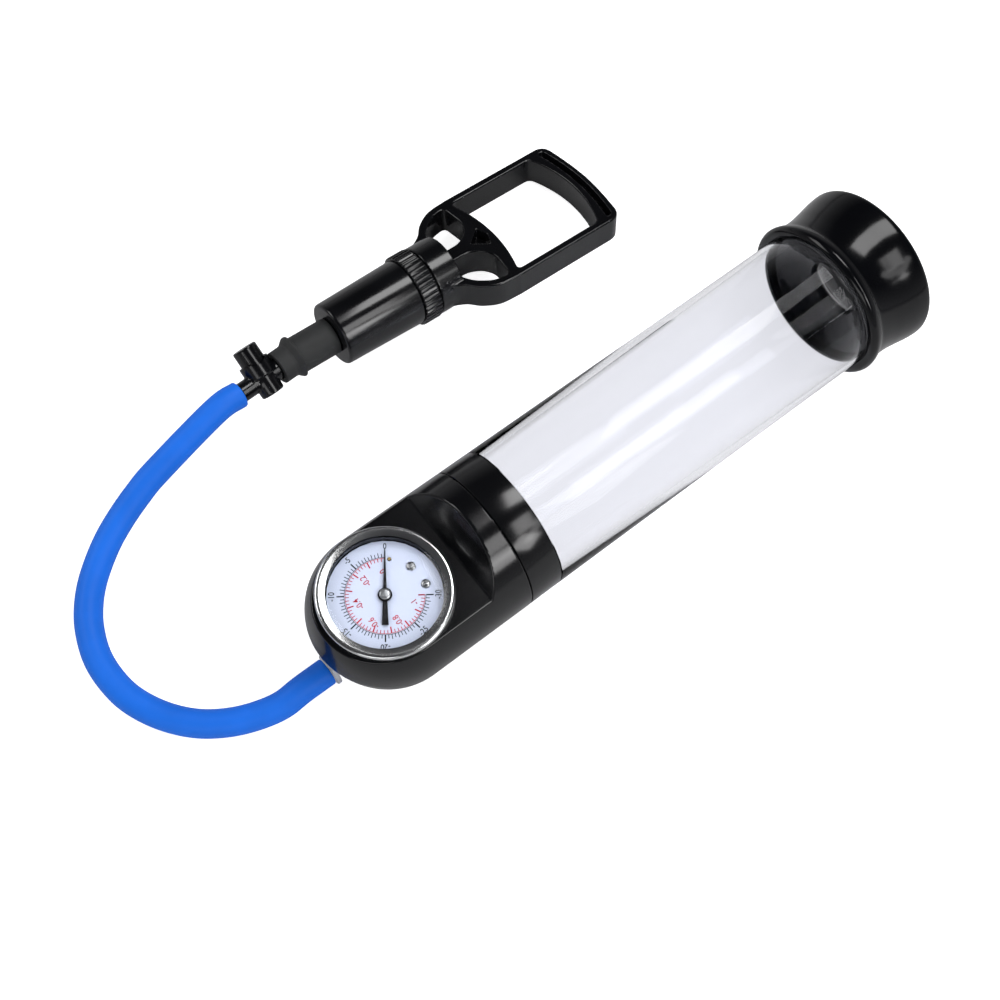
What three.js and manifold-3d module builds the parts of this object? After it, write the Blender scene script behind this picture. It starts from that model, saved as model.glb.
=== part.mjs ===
// Hand vacuum pump: a clear cylinder with a gauge head and a soft mouth sleeve, joined by a hose
// to a small piston pump with a release valve and a pull handle.
// Millimetres, +Z up. The model stands on z = 0 with the middle of its box over the origin.

import * as THREE from "three";
import { mergeVertices } from "three/addons/utils/BufferGeometryUtils.js";
import Module from "manifold-3d";

const wasm = await Module();
wasm.setup();

// ---------------------------------------------------------------- driving dimensions

const GAP = 0.3; // clearance between pieces that touch
const ROUND = 32; // facets round a large turned piece
const FINE = 16; // facets round a middling turned piece
const SMALL = 8; // facets round a pin, a stem or a screw

// clear cylinder and its collar, along the cylinder's axis from the gauge's axis
const TUBE_OD = 60;
const TUBE_WALL = 3;
const TUBE_END = 224;
const NECK_WALL = 1.5;
const NECK_LENGTH = 11.5;
const COLLAR_LENGTH = 13.5;

// gauge head
const HEAD_FRONT = 44.9;
const FLAT_HEIGHT = 16;
const TAIL_TOP_PULL = 3.1; // how far the tail rounds inwards at the flat
const TAIL_LOW_PULL = 9.6; // how far the tail rounds inwards at the bottom
const SCOOP_START = 29;
const SCOOP_TOP = 37.2;
const SPIGOT_LENGTH = 13;
const SPIGOT_WALL = 3.2;
const SEAL_SECTION = 2;
const PASSAGE_RISE = 8; // hose line above the cylinder's underside
const PASSAGE_R = 1.5;
const FLANGE_GAP = 2.8; // between the flange and the head's round tail
const FLANGE_LENGTH = 1.8;
const FLANGE_R = 6.5;

// pressure gauge
const BEZEL_OD = 50.5;
const BEZEL_HEIGHT = 3;
const BEZEL_WALL = 0.6;
const DIAL_OPENING = 43.5;
const CASE_OD = 45;
const CASE_WALL = 1.2;
const CASE_DEPTH = 25;
const LENS_THICKNESS = 1;
const DIAL_DROP = 2.9; // below the case's rim
const DIAL_THICKNESS = 0.5;
const POINTER_REACH = 17.6;
const POINTER_TAIL = 11.3;
const POINTER_BOSS_R = 2.6;
const HUB_R = 2.1;
const DIAL_SCREW_R = 1.7;
const REST_ANGLE = 54; // the dial's zero, anticlockwise from the cylinder's axis, in degrees
const MOVEMENT_HEIGHT = 7.4;
const TOOTH_MODULE = 0.4;
const PINION_TEETH = 8;
const SECTOR_TEETH = 56; // teeth of the whole wheel that the sector is cut from
const SECTOR_CUT_TEETH = 9;
const TUBE_LOOP_R = 17;
const TUBE_LOOP_HEIGHT = 4.4;
const TUBE_LOOP_THICKNESS = 1.6;

// mouth sleeve: its lap over the cylinder's end, and how far it stands out from the cylinder
const SLEEVE_LAP = 9.7;
const SLEEVE_LENGTH = 31.7;
const SLEEVE_BEAD = 4.1;
const SLEEVE_NECK = 2.2;
const SLEEVE_FLARE = 4.4;
const SLEEVE_HOLE_R = 11;
const SLEEVE_DISC_DEPTH = 7.8;

// pump unit, along its own axis from the barrel's front face
const PUMP_PLACE = new THREE.Vector2(54.6, 111.8);
const PUMP_YAW = -0.9;
const PUMP_PITCH = 3.05;
const PUMP_ROLL = -9.7;
const BARREL_LENGTH = 36.8;
const BARREL_FRONT_R = 13.6;
const BARREL_REAR_R = 14.45;
const BARREL_BORE_R = 11.8;
const BARREL_FRONT_WALL = 2.5;
const CAP_LENGTH = 8;
const CAP_R = 15.7;
const KNURL_RIBS = 44;
const KNURL_DEPTH = 0.6;
const ROD_R = 3;
const PISTON_LENGTH = 6;
const STROKE = 22;
const RING_GAP = 0.6; // between the cap and the handle's ring when the handle is pushed in
const RING_LENGTH = 11.3;
const RING_R = 15.3;
const RING_WALL = 2;

// handle, in its own plane and along the pump's axis from the front of its ring
const HANDLE_HEIGHT = 12.8;
const HANDLE_END = 88.2;
const HANDLE_END_SIDE = 84.9;
const HANDLE_HALF = 26.7;
const ARM_WIDTH = 3.4;
const GRIP_BAR = 7.9;
const GRIP_BAR_BOW = 5;
const CROSSBAR_END = 36.9;
const CROSSBAR_SIDE = 32.6;
const CROSSBAR_WIDTH = 3.4;
const STEM_WIDTH = 6.4;
const POCKET_DEPTH = 5;

// rubber adapter and release valve
const ADAPTER_BEND = 5; // the adapter flexes this far at its ridge, in degrees
const RIDGE_X = -18.4;
const RIDGE_R = 9.1;
const ADAPTER_REAR_R = 7.8;
const ADAPTER_FRONT_R = 6.95;
const ADAPTER_FRONT_X = -27;
const VALVE_X = -33.8;
const VALVE_TILT = 40; // of the button above the handle's plane, in degrees
const VALVE_BODY_R = 5;
const VALVE_BODY_LOW = -7.3;
const VALVE_COLLAR_R = 6.45;
const VALVE_COLLAR_LOW = 0.5;
const VALVE_COLLAR_TOP = 7.7;
const VALVE_NECK_R = 4;
const BUTTON_R = 5.2;
const BUTTON_TOP = 14.2;
const BUTTON_TRAVEL = 2.5;
const HOSE_END_X = -45.3;

// hose
const HOSE_R = 5.5;
const HOSE_BORE_R = 2.5;
const HOSE_SIDES = 10;
const HOSE_STEPS = 22;
const BARB_R = 1.95;
const BARB_LENGTH = 10;
const AIRWAY_R = 0.9;

// ---------------------------------------------------------------- values that follow from them

const tubeR = TUBE_OD / 2;
const tubeBoreR = tubeR - TUBE_WALL;
const neckR = tubeBoreR + NECK_WALL;
const spigotR = tubeBoreR - GAP;
const collarStart = HEAD_FRONT + GAP;
const collarEnd = collarStart + COLLAR_LENGTH;
const passageDrop = tubeR - PASSAGE_RISE;
const degrees = Math.PI / 180;
const sleeveStart = TUBE_END - SLEEVE_LAP;
const sleeveEnd = sleeveStart + SLEEVE_LENGTH;
const discX = TUBE_END - SLEEVE_DISC_DEPTH;
const beadR = tubeR + SLEEVE_BEAD;
const sleeveNeckR = tubeR + SLEEVE_NECK;
const flareR = tubeR + SLEEVE_FLARE;
const flareX = sleeveEnd - 2.2;
const tailFoot = tubeR - TAIL_LOW_PULL;
const tilt = Math.atan((flareR - tubeR) / (flareX + tailFoot));
const chamberHeight = tubeR * Math.cos(tilt) + tailFoot * Math.sin(tilt);
const capStart = BARREL_LENGTH + GAP;
const capEnd = capStart + CAP_LENGTH;
const ringStart = capEnd + RING_GAP;
const pinionCentreGap = (TOOTH_MODULE * (PINION_TEETH + SECTOR_TEETH)) / 2;

// ---------------------------------------------------------------- finishes

const finish = {
  acrylic: { color: 0xe8eef5, roughness: 0.05, metalness: 0, transparent: true, opacity: 0.3 },
  gloss: { color: 0x16181b, roughness: 0.15, metalness: 0 },
  sleeve: { color: 0x111315, roughness: 0.2, metalness: 0 },
  rubber: { color: 0x2b2e30, roughness: 0.75, metalness: 0 },
  chrome: { color: 0xd8dbde, roughness: 0.12, metalness: 1 },
  brass: { color: 0xb08d45, roughness: 0.35, metalness: 1 },
  steel: { color: 0x9a9da0, roughness: 0.35, metalness: 1 },
  dial: { color: 0xd4daf0, roughness: 0.6, metalness: 0 },
  needle: { color: 0x0c0c0e, roughness: 0.4, metalness: 0 },
  hose: { color: 0x1c5ac6, roughness: 0.55, metalness: 0 },
};

// ---------------------------------------------------------------- solids

// A closed geometry as a solid, with its faces turned outwards.
function solid(geometry) {
  const bare = geometry.index ? geometry.toNonIndexed() : geometry.clone();
  bare.deleteAttribute("normal");
  bare.deleteAttribute("uv");
  const merged = mergeVertices(bare, 1e-4);
  const spots = merged.attributes.position;
  const index = merged.index.array;
  const faces = [];
  let volume = 0;
  const [a, b, c] = [new THREE.Vector3(), new THREE.Vector3(), new THREE.Vector3()];
  for (let i = 0; i < index.length; i += 3) {
    const [p, q, r] = [index[i], index[i + 1], index[i + 2]];
    if (p === q || q === r || r === p) continue;
    faces.push(p, q, r);
    a.fromBufferAttribute(spots, p);
    b.fromBufferAttribute(spots, q);
    c.fromBufferAttribute(spots, r);
    volume += a.dot(b.cross(c));
  }
  if (volume < 0) faces.reverse();
  return new wasm.Manifold(
    new wasm.Mesh({
      numProp: 3,
      vertProperties: new Float32Array(spots.array),
      triVerts: new Uint32Array(faces),
    }),
  );
}

// The solid's triangles as a geometry that a mesh can hold.
function surface(body) {
  const { vertProperties, triVerts } = body.getMesh();
  const geometry = new THREE.BufferGeometry();
  geometry.setAttribute("position", new THREE.BufferAttribute(new Float32Array(vertProperties), 3));
  geometry.setIndex(new THREE.BufferAttribute(new Uint32Array(triVerts), 1));
  geometry.computeVertexNormals();
  return geometry;
}

const join = (first, ...others) => others.reduce((whole, next) => whole.add(next), first);
const cut = (first, ...others) => others.reduce((whole, next) => whole.subtract(next), first);

// A solid turned round X or Z from closed points of [place along the axis, radius].
function turned(points, axis = "x", facets = ROUND) {
  const outline = points.map(([along, radius]) => new THREE.Vector2(radius, along));
  outline.push(outline[0].clone());
  const geometry = new THREE.LatheGeometry(outline, facets);
  if (axis === "x") geometry.rotateZ(-Math.PI / 2);
  else geometry.rotateX(Math.PI / 2);
  return solid(geometry);
}

// A round bar, or a ring where it has a bore, between two places along X or Z.
function bar(from, to, radius, bore = 0, axis = "x", facets = ROUND) {
  const points = [[from, bore], [from, radius], [to, radius], [to, bore]];
  return turned(points, axis, facets);
}

// A ring of nearly round section, for seals.
function sealRing(centre, ringR, sectionR, axis = "x", facets = ROUND) {
  const points = [];
  for (let i = 0; i < 6; i += 1) {
    const angle = i * 60 * degrees;
    points.push([centre + sectionR * Math.sin(angle), ringR + sectionR * Math.cos(angle)]);
  }
  return turned(points, axis, facets);
}

// A box between two corners.
function block(low, high) {
  const size = high.map((value, i) => value - low[i]);
  const geometry = new THREE.BoxGeometry(...size);
  geometry.translate(...low.map((value, i) => value + size[i] / 2));
  return solid(geometry);
}

// A flat outline raised from one height to another.
function raised(shape, from, to, curveSegments = 8) {
  const options = { depth: to - from, bevelEnabled: false, curveSegments };
  const geometry = new THREE.ExtrudeGeometry(shape, options);
  geometry.translate(0, 0, from);
  return solid(geometry);
}

// The same solid turned by degrees about X, Y and Z and then moved.
function placed(body, { turn = [0, 0, 0], move = [0, 0, 0] }) {
  const geometry = surface(body);
  geometry.rotateX(turn[0] * degrees);
  geometry.rotateY(turn[1] * degrees);
  geometry.rotateZ(turn[2] * degrees);
  geometry.translate(...move);
  return solid(geometry);
}

function piece(name, body, look) {
  const mesh = new THREE.Mesh(surface(body), new THREE.MeshStandardMaterial(finish[look]));
  mesh.name = name;
  return mesh;
}

function rounded(points, radius) {
  const shape = new THREE.Shape();
  const count = points.length;
  const corner = (i) => new THREE.Vector2(...points[(i + count) % count]);
  for (let i = 0; i < count; i += 1) {
    const here = corner(i);
    const toLast = corner(i - 1).sub(here);
    const toNext = corner(i + 1).sub(here);
    const reach = Math.min(radius, toLast.length() / 2.1, toNext.length() / 2.1);
    const start = here.clone().addScaledVector(toLast.normalize(), reach);
    const end = here.clone().addScaledVector(toNext.normalize(), reach);
    if (i === 0) shape.moveTo(start.x, start.y);
    else shape.lineTo(start.x, start.y);
    shape.quadraticCurveTo(here.x, here.y, end.x, end.y);
  }
  shape.closePath();
  return shape;
}

// ---------------------------------------------------------------- chamber

function clearCylinder() {
  const neckStart = collarEnd - NECK_LENGTH;
  return turned([
    [neckStart, tubeBoreR],
    [neckStart, neckR],
    [collarEnd + GAP, neckR],
    [collarEnd + GAP, tubeR],
    [TUBE_END - 0.4, tubeR],
    [TUBE_END, tubeR - 0.4],
    [TUBE_END, tubeBoreR],
  ]);
}

function collarRing() {
  return turned([
    [collarStart, neckR + GAP],
    [collarStart, tubeR - 0.3],
    [collarStart + 0.3, tubeR],
    [collarEnd, tubeR],
    [collarEnd, neckR + GAP],
  ]);
}

const spigotEnd = HEAD_FRONT + SPIGOT_LENGTH;
const sealX = HEAD_FRONT + 0.55 * SPIGOT_LENGTH;
const sealGrooveHalf = SEAL_SECTION / 2 + GAP;
const sealRingR = tubeBoreR - GAP - SEAL_SECTION / 2;
const sealGrooveR = sealRingR - SEAL_SECTION / 2 - GAP;

const cylinderSeal = () => sealRing(sealX, sealRingR, SEAL_SECTION / 2);

const pocketFloor = FLAT_HEIGHT + GAP - CASE_DEPTH - GAP;
const pocketR = CASE_OD / 2 + GAP;
const stemR = 3;
const stemFoot = pocketFloor - 9;

// The tail's radius about the gauge's axis, at a height from the cylinder's axis.
function tailRadius(height) {
  if (height > 0) return tubeR - TAIL_TOP_PULL * (height / FLAT_HEIGHT) ** 2;
  return tubeR - TAIL_LOW_PULL * (-height / tubeR) ** 1.2;
}

const flangeStart = -tailRadius(-passageDrop) - FLANGE_GAP - FLANGE_LENGTH;
const nippleRoot = flangeStart + 12;

// All that lies outside the head's round tail.
function aroundTail() {
  const profile = [[-tubeR - 1, 0], [-tubeR - 1, tailFoot]];
  for (let height = -tubeR; height <= FLAT_HEIGHT; height += 5) profile.push([height, tailRadius(height)]);
  profile.push([FLAT_HEIGHT, tailRadius(FLAT_HEIGHT)], [tubeR + 1, tailRadius(FLAT_HEIGHT)], [tubeR + 1, 0]);
  const outside = block([-tubeR - 2, -tubeR - 1, -tubeR - 0.5], [0, tubeR + 1, tubeR + 0.5]);
  return cut(outside, turned(profile, "z"));
}

function gaugeHead() {
  const cavityR = spigotR - SPIGOT_WALL;
  const core = turned([
    [-tubeR - 1, 0],
    [-tubeR - 1, tubeR],
    [HEAD_FRONT - 0.3, tubeR],
    [HEAD_FRONT, tubeR - 0.3],
    [HEAD_FRONT, spigotR],
    [sealX - sealGrooveHalf, spigotR],
    [sealX - sealGrooveHalf, sealGrooveR],
    [sealX + sealGrooveHalf, sealGrooveR],
    [sealX + sealGrooveHalf, spigotR],
    [spigotEnd - 1, spigotR],
    [spigotEnd, spigotR - 1],
    [spigotEnd, cavityR],
    [SCOOP_TOP + 2, cavityR],
    [SCOOP_TOP - 1, cavityR - 3.5],
    [SCOOP_START + 1, cavityR / 2],
    [SCOOP_START + 1, 0],
  ]);
  const onPassage = { move: [0, 0, -passageDrop] };
  const above = new THREE.Shape();
  above.moveTo(-tubeR - 2, -FLAT_HEIGHT);
  above.lineTo(SCOOP_START, -FLAT_HEIGHT);
  above.quadraticCurveTo(SCOOP_START + 4.6, -FLAT_HEIGHT - 6, SCOOP_TOP, -tubeR);
  above.lineTo(SCOOP_TOP, -tubeR - 1);
  above.lineTo(-tubeR - 2, -tubeR - 1);
  const topCut = placed(raised(above, -tubeR - 2, tubeR + 2), { turn: [-90, 0, 0] });
  const pocket = bar(pocketFloor, tubeR, pocketR, 0, "z");
  const stemBore = bar(stemFoot - GAP, pocketFloor + 1, stemR + GAP, 0, "z", FINE);
  const downBore = bar(-passageDrop, stemFoot, PASSAGE_R, 0, "z", SMALL);
  const passageEnd = SCOOP_TOP;
  const passage = placed(bar(nippleRoot - 1, passageEnd, PASSAGE_R, 0, "x", SMALL), onPassage);
  const upBore = placed(bar(-passageDrop, 3.5 - cavityR, PASSAGE_R, 0, "z", SMALL), {
    move: [passageEnd - 0.5, 0, 0],
  });
  const nippleBore = placed(bar(-tubeR - 1, nippleRoot, BARB_R + GAP, 0, "x", SMALL), onPassage);
  const bores = [stemBore, downBore, passage, upBore, nippleBore];
  return cut(core, aroundTail(), topCut, pocket, ...bores);
}

// A barbed stem along X, from its tip to its root.
function barb(tip, root) {
  const way = Math.sign(root - tip);
  const points = [[tip, AIRWAY_R], [tip, BARB_R - 0.4]];
  for (const step of [2, 4.5, 7]) {
    points.push([tip + way * step, BARB_R], [tip + way * (step + 0.2), BARB_R - 0.3]);
  }
  points.push([root, BARB_R - 0.3], [root, AIRWAY_R]);
  return turned(points, "x", SMALL);
}

function headNipple() {
  const stem = barb(flangeStart - GAP - BARB_LENGTH, nippleRoot - GAP);
  const flange = bar(flangeStart, flangeStart + FLANGE_LENGTH, FLANGE_R, AIRWAY_R, "x", FINE);
  return placed(join(stem, flange), { move: [0, 0, -passageDrop] });
}

function mouthSleeve() {
  const skirtR = tubeR + GAP;
  const plugR = tubeBoreR - GAP;
  return turned([
    [sleeveStart, skirtR],
    [sleeveStart, beadR - 1.8],
    [sleeveStart + 1.3, beadR - 0.3],
    [sleeveStart + 2.9, beadR],
    [sleeveStart + 4.9, beadR - 0.5],
    [sleeveStart + 6.6, sleeveNeckR + 0.2],
    [sleeveStart + 13, sleeveNeckR + 0.1],
    [sleeveStart + 19, sleeveNeckR + 0.9],
    [sleeveStart + 25, flareR - 0.3],
    [flareX, flareR],
    [sleeveEnd - 0.8, flareR - 0.4],
    [sleeveEnd, flareR - 1.4],
    [sleeveEnd, flareR - 3.4],
    [sleeveEnd - 1.2, flareR - 4.6],
    [sleeveEnd - 6, flareR - 7],
    [sleeveEnd - 12, flareR - 12],
    [sleeveEnd - 16, SLEEVE_HOLE_R + 4],
    [sleeveEnd - 19.6, SLEEVE_HOLE_R],
    [sleeveEnd - 23.4, SLEEVE_HOLE_R + 1.8],
    [sleeveEnd - 23.8, SLEEVE_HOLE_R + 4],
    [discX + 3, plugR - 6],
    [discX, plugR - 1.5],
    [discX + 0.6, plugR],
    [TUBE_END + GAP, plugR],
    [TUBE_END + GAP, skirtR],
  ]);
}

function chamber() {
  const group = new THREE.Group();
  group.add(
    piece("clear_cylinder", clearCylinder(), "acrylic"),
    piece("collar_ring", collarRing(), "gloss"),
    piece("cylinder_seal", cylinderSeal(), "rubber"),
    piece("gauge_head", gaugeHead(), "gloss"),
    piece("head_nipple", headNipple(), "acrylic"),
    piece("mouth_sleeve", mouthSleeve(), "sleeve"),
  );
  return group;
}

// ---------------------------------------------------------------- gauge

const caseR = CASE_OD / 2;
const caseInnerR = caseR - CASE_WALL;
const rimFoot = FLAT_HEIGHT + GAP;
const rimTop = rimFoot + 0.8;
const caseFloor = rimFoot - CASE_DEPTH;
const bezelR = BEZEL_OD / 2;
const lensFoot = rimTop + GAP;
const lensTop = lensFoot + LENS_THICKNESS;
const lensR = bezelR - BEZEL_WALL - 2 * GAP;
const dialHeight = rimFoot - DIAL_DROP;
const movementHigh = dialHeight - 3;
const movementLow = movementHigh - MOVEMENT_HEIGHT;
const tubeLoopZ = movementLow - MOVEMENT_HEIGHT;
const plateThickness = 0.8;
const sectorZ = movementLow + 3.2;
const sectorThickness = 1;
const arborR = 0.7;
const arborTop = dialHeight + DIAL_THICKNESS + 1.8;
const sectorY = -pinionCentreGap;
const sectorSwing = 270 * degrees * (PINION_TEETH / SECTOR_TEETH);
const tailArm = 3.6;
const tailPinR = 0.5;
const tailLean = -10.9 * degrees; // puts the tail pin's path in line with the link
const tailAngle = sectorSwing / 2 - Math.PI / 2 + tailLean;
const tailPin = [tailArm * Math.cos(tailAngle), sectorY + tailArm * Math.sin(tailAngle)];
const linkTravel = 2 * tailArm * Math.sin(sectorSwing / 2);
const linkFoot = sectorZ - 1.2;
const loopRoot = -40 * degrees;
const loopTip = 239 * degrees;
const tipPin = [TUBE_LOOP_R * Math.cos(loopTip), TUBE_LOOP_R * Math.sin(loopTip)];

function gaugeCase() {
  return turned([
    [caseFloor, stemR + GAP],
    [caseFloor, caseR],
    [rimFoot, caseR],
    [rimFoot, bezelR - BEZEL_WALL - GAP],
    [rimTop, bezelR - BEZEL_WALL - GAP],
    [rimTop, caseInnerR],
    [caseFloor + CASE_WALL, caseInnerR],
    [caseFloor + CASE_WALL, stemR + GAP],
  ], "z");
}

function gaugeBezel() {
  const top = rimFoot + BEZEL_HEIGHT;
  const lipFoot = lensTop + GAP;
  const innerR = bezelR - BEZEL_WALL;
  return turned([
    [rimFoot, innerR],
    [rimFoot, bezelR],
    [top - 0.7, bezelR],
    [top - 0.2, bezelR - 0.5],
    [top, bezelR - 1.3],
    [top - 0.3, DIAL_OPENING / 2 + 0.4],
    [lipFoot + 0.1, DIAL_OPENING / 2],
    [lipFoot, DIAL_OPENING / 2 + 0.3],
    [lipFoot, innerR],
  ], "z");
}

const dialScrewSpots = [[14, 3.3], [14.2, -5.3]];
const stopPinSpot = [9.5, 10.3];

function gaugeDial() {
  const disc = bar(dialHeight, dialHeight + DIAL_THICKNESS, caseInnerR - GAP, arborR + 0.5, "z");
  const holes = [...dialScrewSpots, stopPinSpot].map(([x, y], i) => {
    const radius = i < dialScrewSpots.length ? 0.8 + GAP : 0.5 + GAP;
    return placed(bar(dialHeight - 1, dialHeight + 2, radius, 0, "z", SMALL), { move: [x, y, 0] });
  });
  return cut(disc, ...holes);
}

// A small screw that holds the dial to the movement's upper plate.
function dialScrew([x, y]) {
  const headFoot = dialHeight + DIAL_THICKNESS + GAP;
  const screw = turned([
    [movementHigh + plateThickness + GAP, 0],
    [movementHigh + plateThickness + GAP, 0.8],
    [headFoot, 0.8],
    [headFoot, DIAL_SCREW_R],
    [headFoot + 0.4, DIAL_SCREW_R],
    [headFoot + 0.8, DIAL_SCREW_R - 0.7],
    [headFoot + 0.8, 0],
  ], "z", SMALL);
  const slot = block([-2, -0.2, headFoot + 0.5], [2, 0.2, headFoot + 1]);
  return placed(cut(screw, slot), { move: [x, y, 0] });
}

function stopPin() {
  const top = dialHeight + DIAL_THICKNESS + 0.6;
  const pin = bar(movementHigh + plateThickness + GAP, top, 0.5, 0, "z", SMALL);
  return placed(pin, { move: [...stopPinSpot, 0] });
}

function pointer() {
  const foot = dialHeight + DIAL_THICKNESS + 0.8;
  const outline = new THREE.Shape();
  outline.moveTo(POINTER_REACH, -0.15);
  outline.lineTo(POINTER_REACH, 0.15);
  outline.lineTo(POINTER_BOSS_R - 0.5, 0.65);
  outline.lineTo(0.5 - POINTER_BOSS_R, 0.8);
  outline.lineTo(-POINTER_TAIL, 1.2);
  outline.lineTo(-POINTER_TAIL, -1.2);
  outline.lineTo(0.5 - POINTER_BOSS_R, -0.8);
  outline.lineTo(POINTER_BOSS_R - 0.5, -0.65);
  const blade = placed(raised(outline, foot, foot + 0.4), { turn: [0, 0, REST_ANGLE] });
  const boss = bar(foot, foot + 0.7, POINTER_BOSS_R, 0, "z", FINE);
  const bore = bar(foot - 1, foot + 2, arborR + 0.1, 0, "z", SMALL);
  return cut(join(blade, boss), bore);
}

function pointerHub() {
  const foot = arborTop + 0.1;
  const outline = [[foot, 0], [foot, HUB_R], [foot + 0.3, HUB_R], [foot + 0.6, HUB_R - 0.9], [foot + 0.6, 0]];
  return turned(outline, "z", FINE);
}

// The outline of a gear, or of a cut of one, with thin teeth that leave room to turn.
function gearOutline(teeth, cutTeeth, middleAngle) {
  const pitchR = (TOOTH_MODULE * teeth) / 2;
  const tipR = pitchR + 0.8 * TOOTH_MODULE;
  const rootR = pitchR - 1.15 * TOOTH_MODULE;
  const pitch = (2 * Math.PI) / teeth;
  const tipHalf = (0.1 * Math.PI * TOOTH_MODULE) / tipR;
  const rootHalf = (0.2 * Math.PI * TOOTH_MODULE) / pitchR;
  const points = [];
  for (let i = 0; i < cutTeeth; i += 1) {
    const angle = middleAngle + (i - (cutTeeth - 1) / 2) * pitch;
    points.push([rootR, angle - rootHalf], [tipR, angle - tipHalf]);
    points.push([tipR, angle + tipHalf], [rootR, angle + rootHalf]);
  }
  return points.map(([r, angle]) => new THREE.Vector2(r * Math.cos(angle), r * Math.sin(angle)));
}

function pointerArbor() {
  const shaft = turned([
    [movementLow, 0],
    [movementLow, arborR - 0.2],
    [movementLow + plateThickness + GAP, arborR - 0.2],
    [movementLow + plateThickness + GAP, arborR],
    [arborTop, arborR],
    [arborTop, 0],
  ], "z", SMALL);
  const teeth = new THREE.Shape(gearOutline(PINION_TEETH, PINION_TEETH, 0));
  const pinion = raised(teeth, sectorZ - 0.5, sectorZ + sectorThickness + 0.5);
  return join(shaft, pinion);
}

// The sector, with the shaft that it turns on and the pin that the link pulls.
function sectorGear() {
  const middle = Math.PI / 2 + sectorSwing / 2;
  const outline = gearOutline(SECTOR_TEETH, SECTOR_CUT_TEETH, middle);
  outline.push(new THREE.Vector2(-1.5, 1), new THREE.Vector2(1.5, 0));
  const plate = raised(new THREE.Shape(outline), sectorZ, sectorZ + sectorThickness);
  const hub = bar(sectorZ, sectorZ + 1.6, 2, 0, "z", SMALL);
  const shaft = bar(movementLow, movementHigh + 1.2, 0.5, 0, "z", SMALL);
  const arm = placed(block([0, -0.9, sectorZ], [tailArm + 0.9, 0.9, sectorZ + sectorThickness]), {
    turn: [0, 0, tailAngle / degrees],
  });
  const pin = placed(bar(linkFoot - 0.3, sectorZ + 0.5, tailPinR, 0, "z", SMALL), {
    move: [tailPin[0], tailPin[1] - sectorY, 0],
  });
  return placed(join(plate, hub, shaft, arm, pin), { move: [0, sectorY, 0] });
}

// A flat link: a round eye on the sector's pin and a slot on the tube tip's pin.
function gaugeLink() {
  const eyeR = tailPinR + 0.9;
  const holeR = tailPinR + 0.2;
  const slotR = tailPinR + GAP;
  const reach = Math.hypot(tipPin[0] - tailPin[0], tipPin[1] - tailPin[1]);
  const heading = Math.atan2(tipPin[1] - tailPin[1], tipPin[0] - tailPin[0]);
  const outline = new THREE.Shape();
  outline.absarc(0, 0, eyeR, Math.PI / 2, (3 * Math.PI) / 2);
  outline.absarc(reach, 0, eyeR, -Math.PI / 2, Math.PI / 2);
  const slot = new THREE.Shape();
  slot.absarc(reach - linkTravel, 0, slotR, Math.PI / 2, (3 * Math.PI) / 2);
  slot.absarc(reach, 0, slotR, -Math.PI / 2, Math.PI / 2);
  const plate = raised(outline, linkFoot, linkFoot + 0.6, 6);
  const slotCut = raised(slot, linkFoot - 1, linkFoot + 2, 6);
  const eyeCut = bar(linkFoot - 1, linkFoot + 2, holeR, 0, "z", SMALL);
  const turn = [0, 0, heading / degrees];
  return placed(cut(plate, slotCut, eyeCut), { turn, move: [...tailPin, 0] });
}

function loopPoint(angle, radius = TUBE_LOOP_R) {
  return new THREE.Vector3(radius * Math.cos(angle), radius * Math.sin(angle), tubeLoopZ);
}

// The pressure tube: a flat oval section bent into an open loop.
function bourdonTube() {
  const steps = 22;
  const start = loopRoot + (GAP + 3.5) / TUBE_LOOP_R;
  const end = loopTip - (GAP + 1) / TUBE_LOOP_R;
  const points = [];
  for (let i = 0; i <= steps; i += 1) points.push(loopPoint(start + ((end - start) * i) / steps));
  const [halfHeight, halfThick] = [TUBE_LOOP_HEIGHT / 2, TUBE_LOOP_THICKNESS / 2];
  const sides = [];
  for (const [i, point] of points.entries()) {
    const angle = start + ((end - start) * i) / steps;
    const out = new THREE.Vector3(Math.cos(angle), Math.sin(angle), 0);
    for (let k = 0; k < 8; k += 1) {
      const turn = (k * 45 + 22.5) * degrees;
      const spot = point.clone().addScaledVector(out, halfThick * Math.cos(turn));
      spot.z += halfHeight * Math.sin(turn);
      sides.push(spot);
    }
  }
  return solid(strip(sides, 8));
}

// A closed skin over rings of points, with flat ends.
function strip(spots, around) {
  const faces = [];
  const rings = spots.length / around;
  const quad = (a, b, c, d) => faces.push(a, b, c, a, c, d);
  for (let ring = 0; ring < rings - 1; ring += 1) {
    for (let k = 0; k < around; k += 1) {
      const next = (k + 1) % around;
      const [low, high] = [ring * around, (ring + 1) * around];
      quad(low + k, low + next, high + next, high + k);
    }
  }
  for (let k = 1; k < around - 1; k += 1) {
    faces.push(0, k + 1, k);
    const last = (rings - 1) * around;
    faces.push(last, last + k, last + k + 1);
  }
  const geometry = new THREE.BufferGeometry().setFromPoints(spots);
  geometry.setIndex(faces);
  return geometry;
}

// The cap soldered on the tube's free end, with the link's pin.
function bourdonTip() {
  const low = [-1, -1.4, tubeLoopZ - TUBE_LOOP_HEIGHT / 2 - 0.3];
  const high = [1, 1.4, tubeLoopZ + TUBE_LOOP_HEIGHT / 2 + 0.3];
  const cap = placed(block(low, high), { turn: [0, 0, loopTip / degrees + 90] });
  const pin = bar(high[2] - 0.5, linkFoot + 1.1, tailPinR, 0, "z", SMALL);
  return placed(join(cap, pin), { move: [...tipPin, 0] });
}

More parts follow.
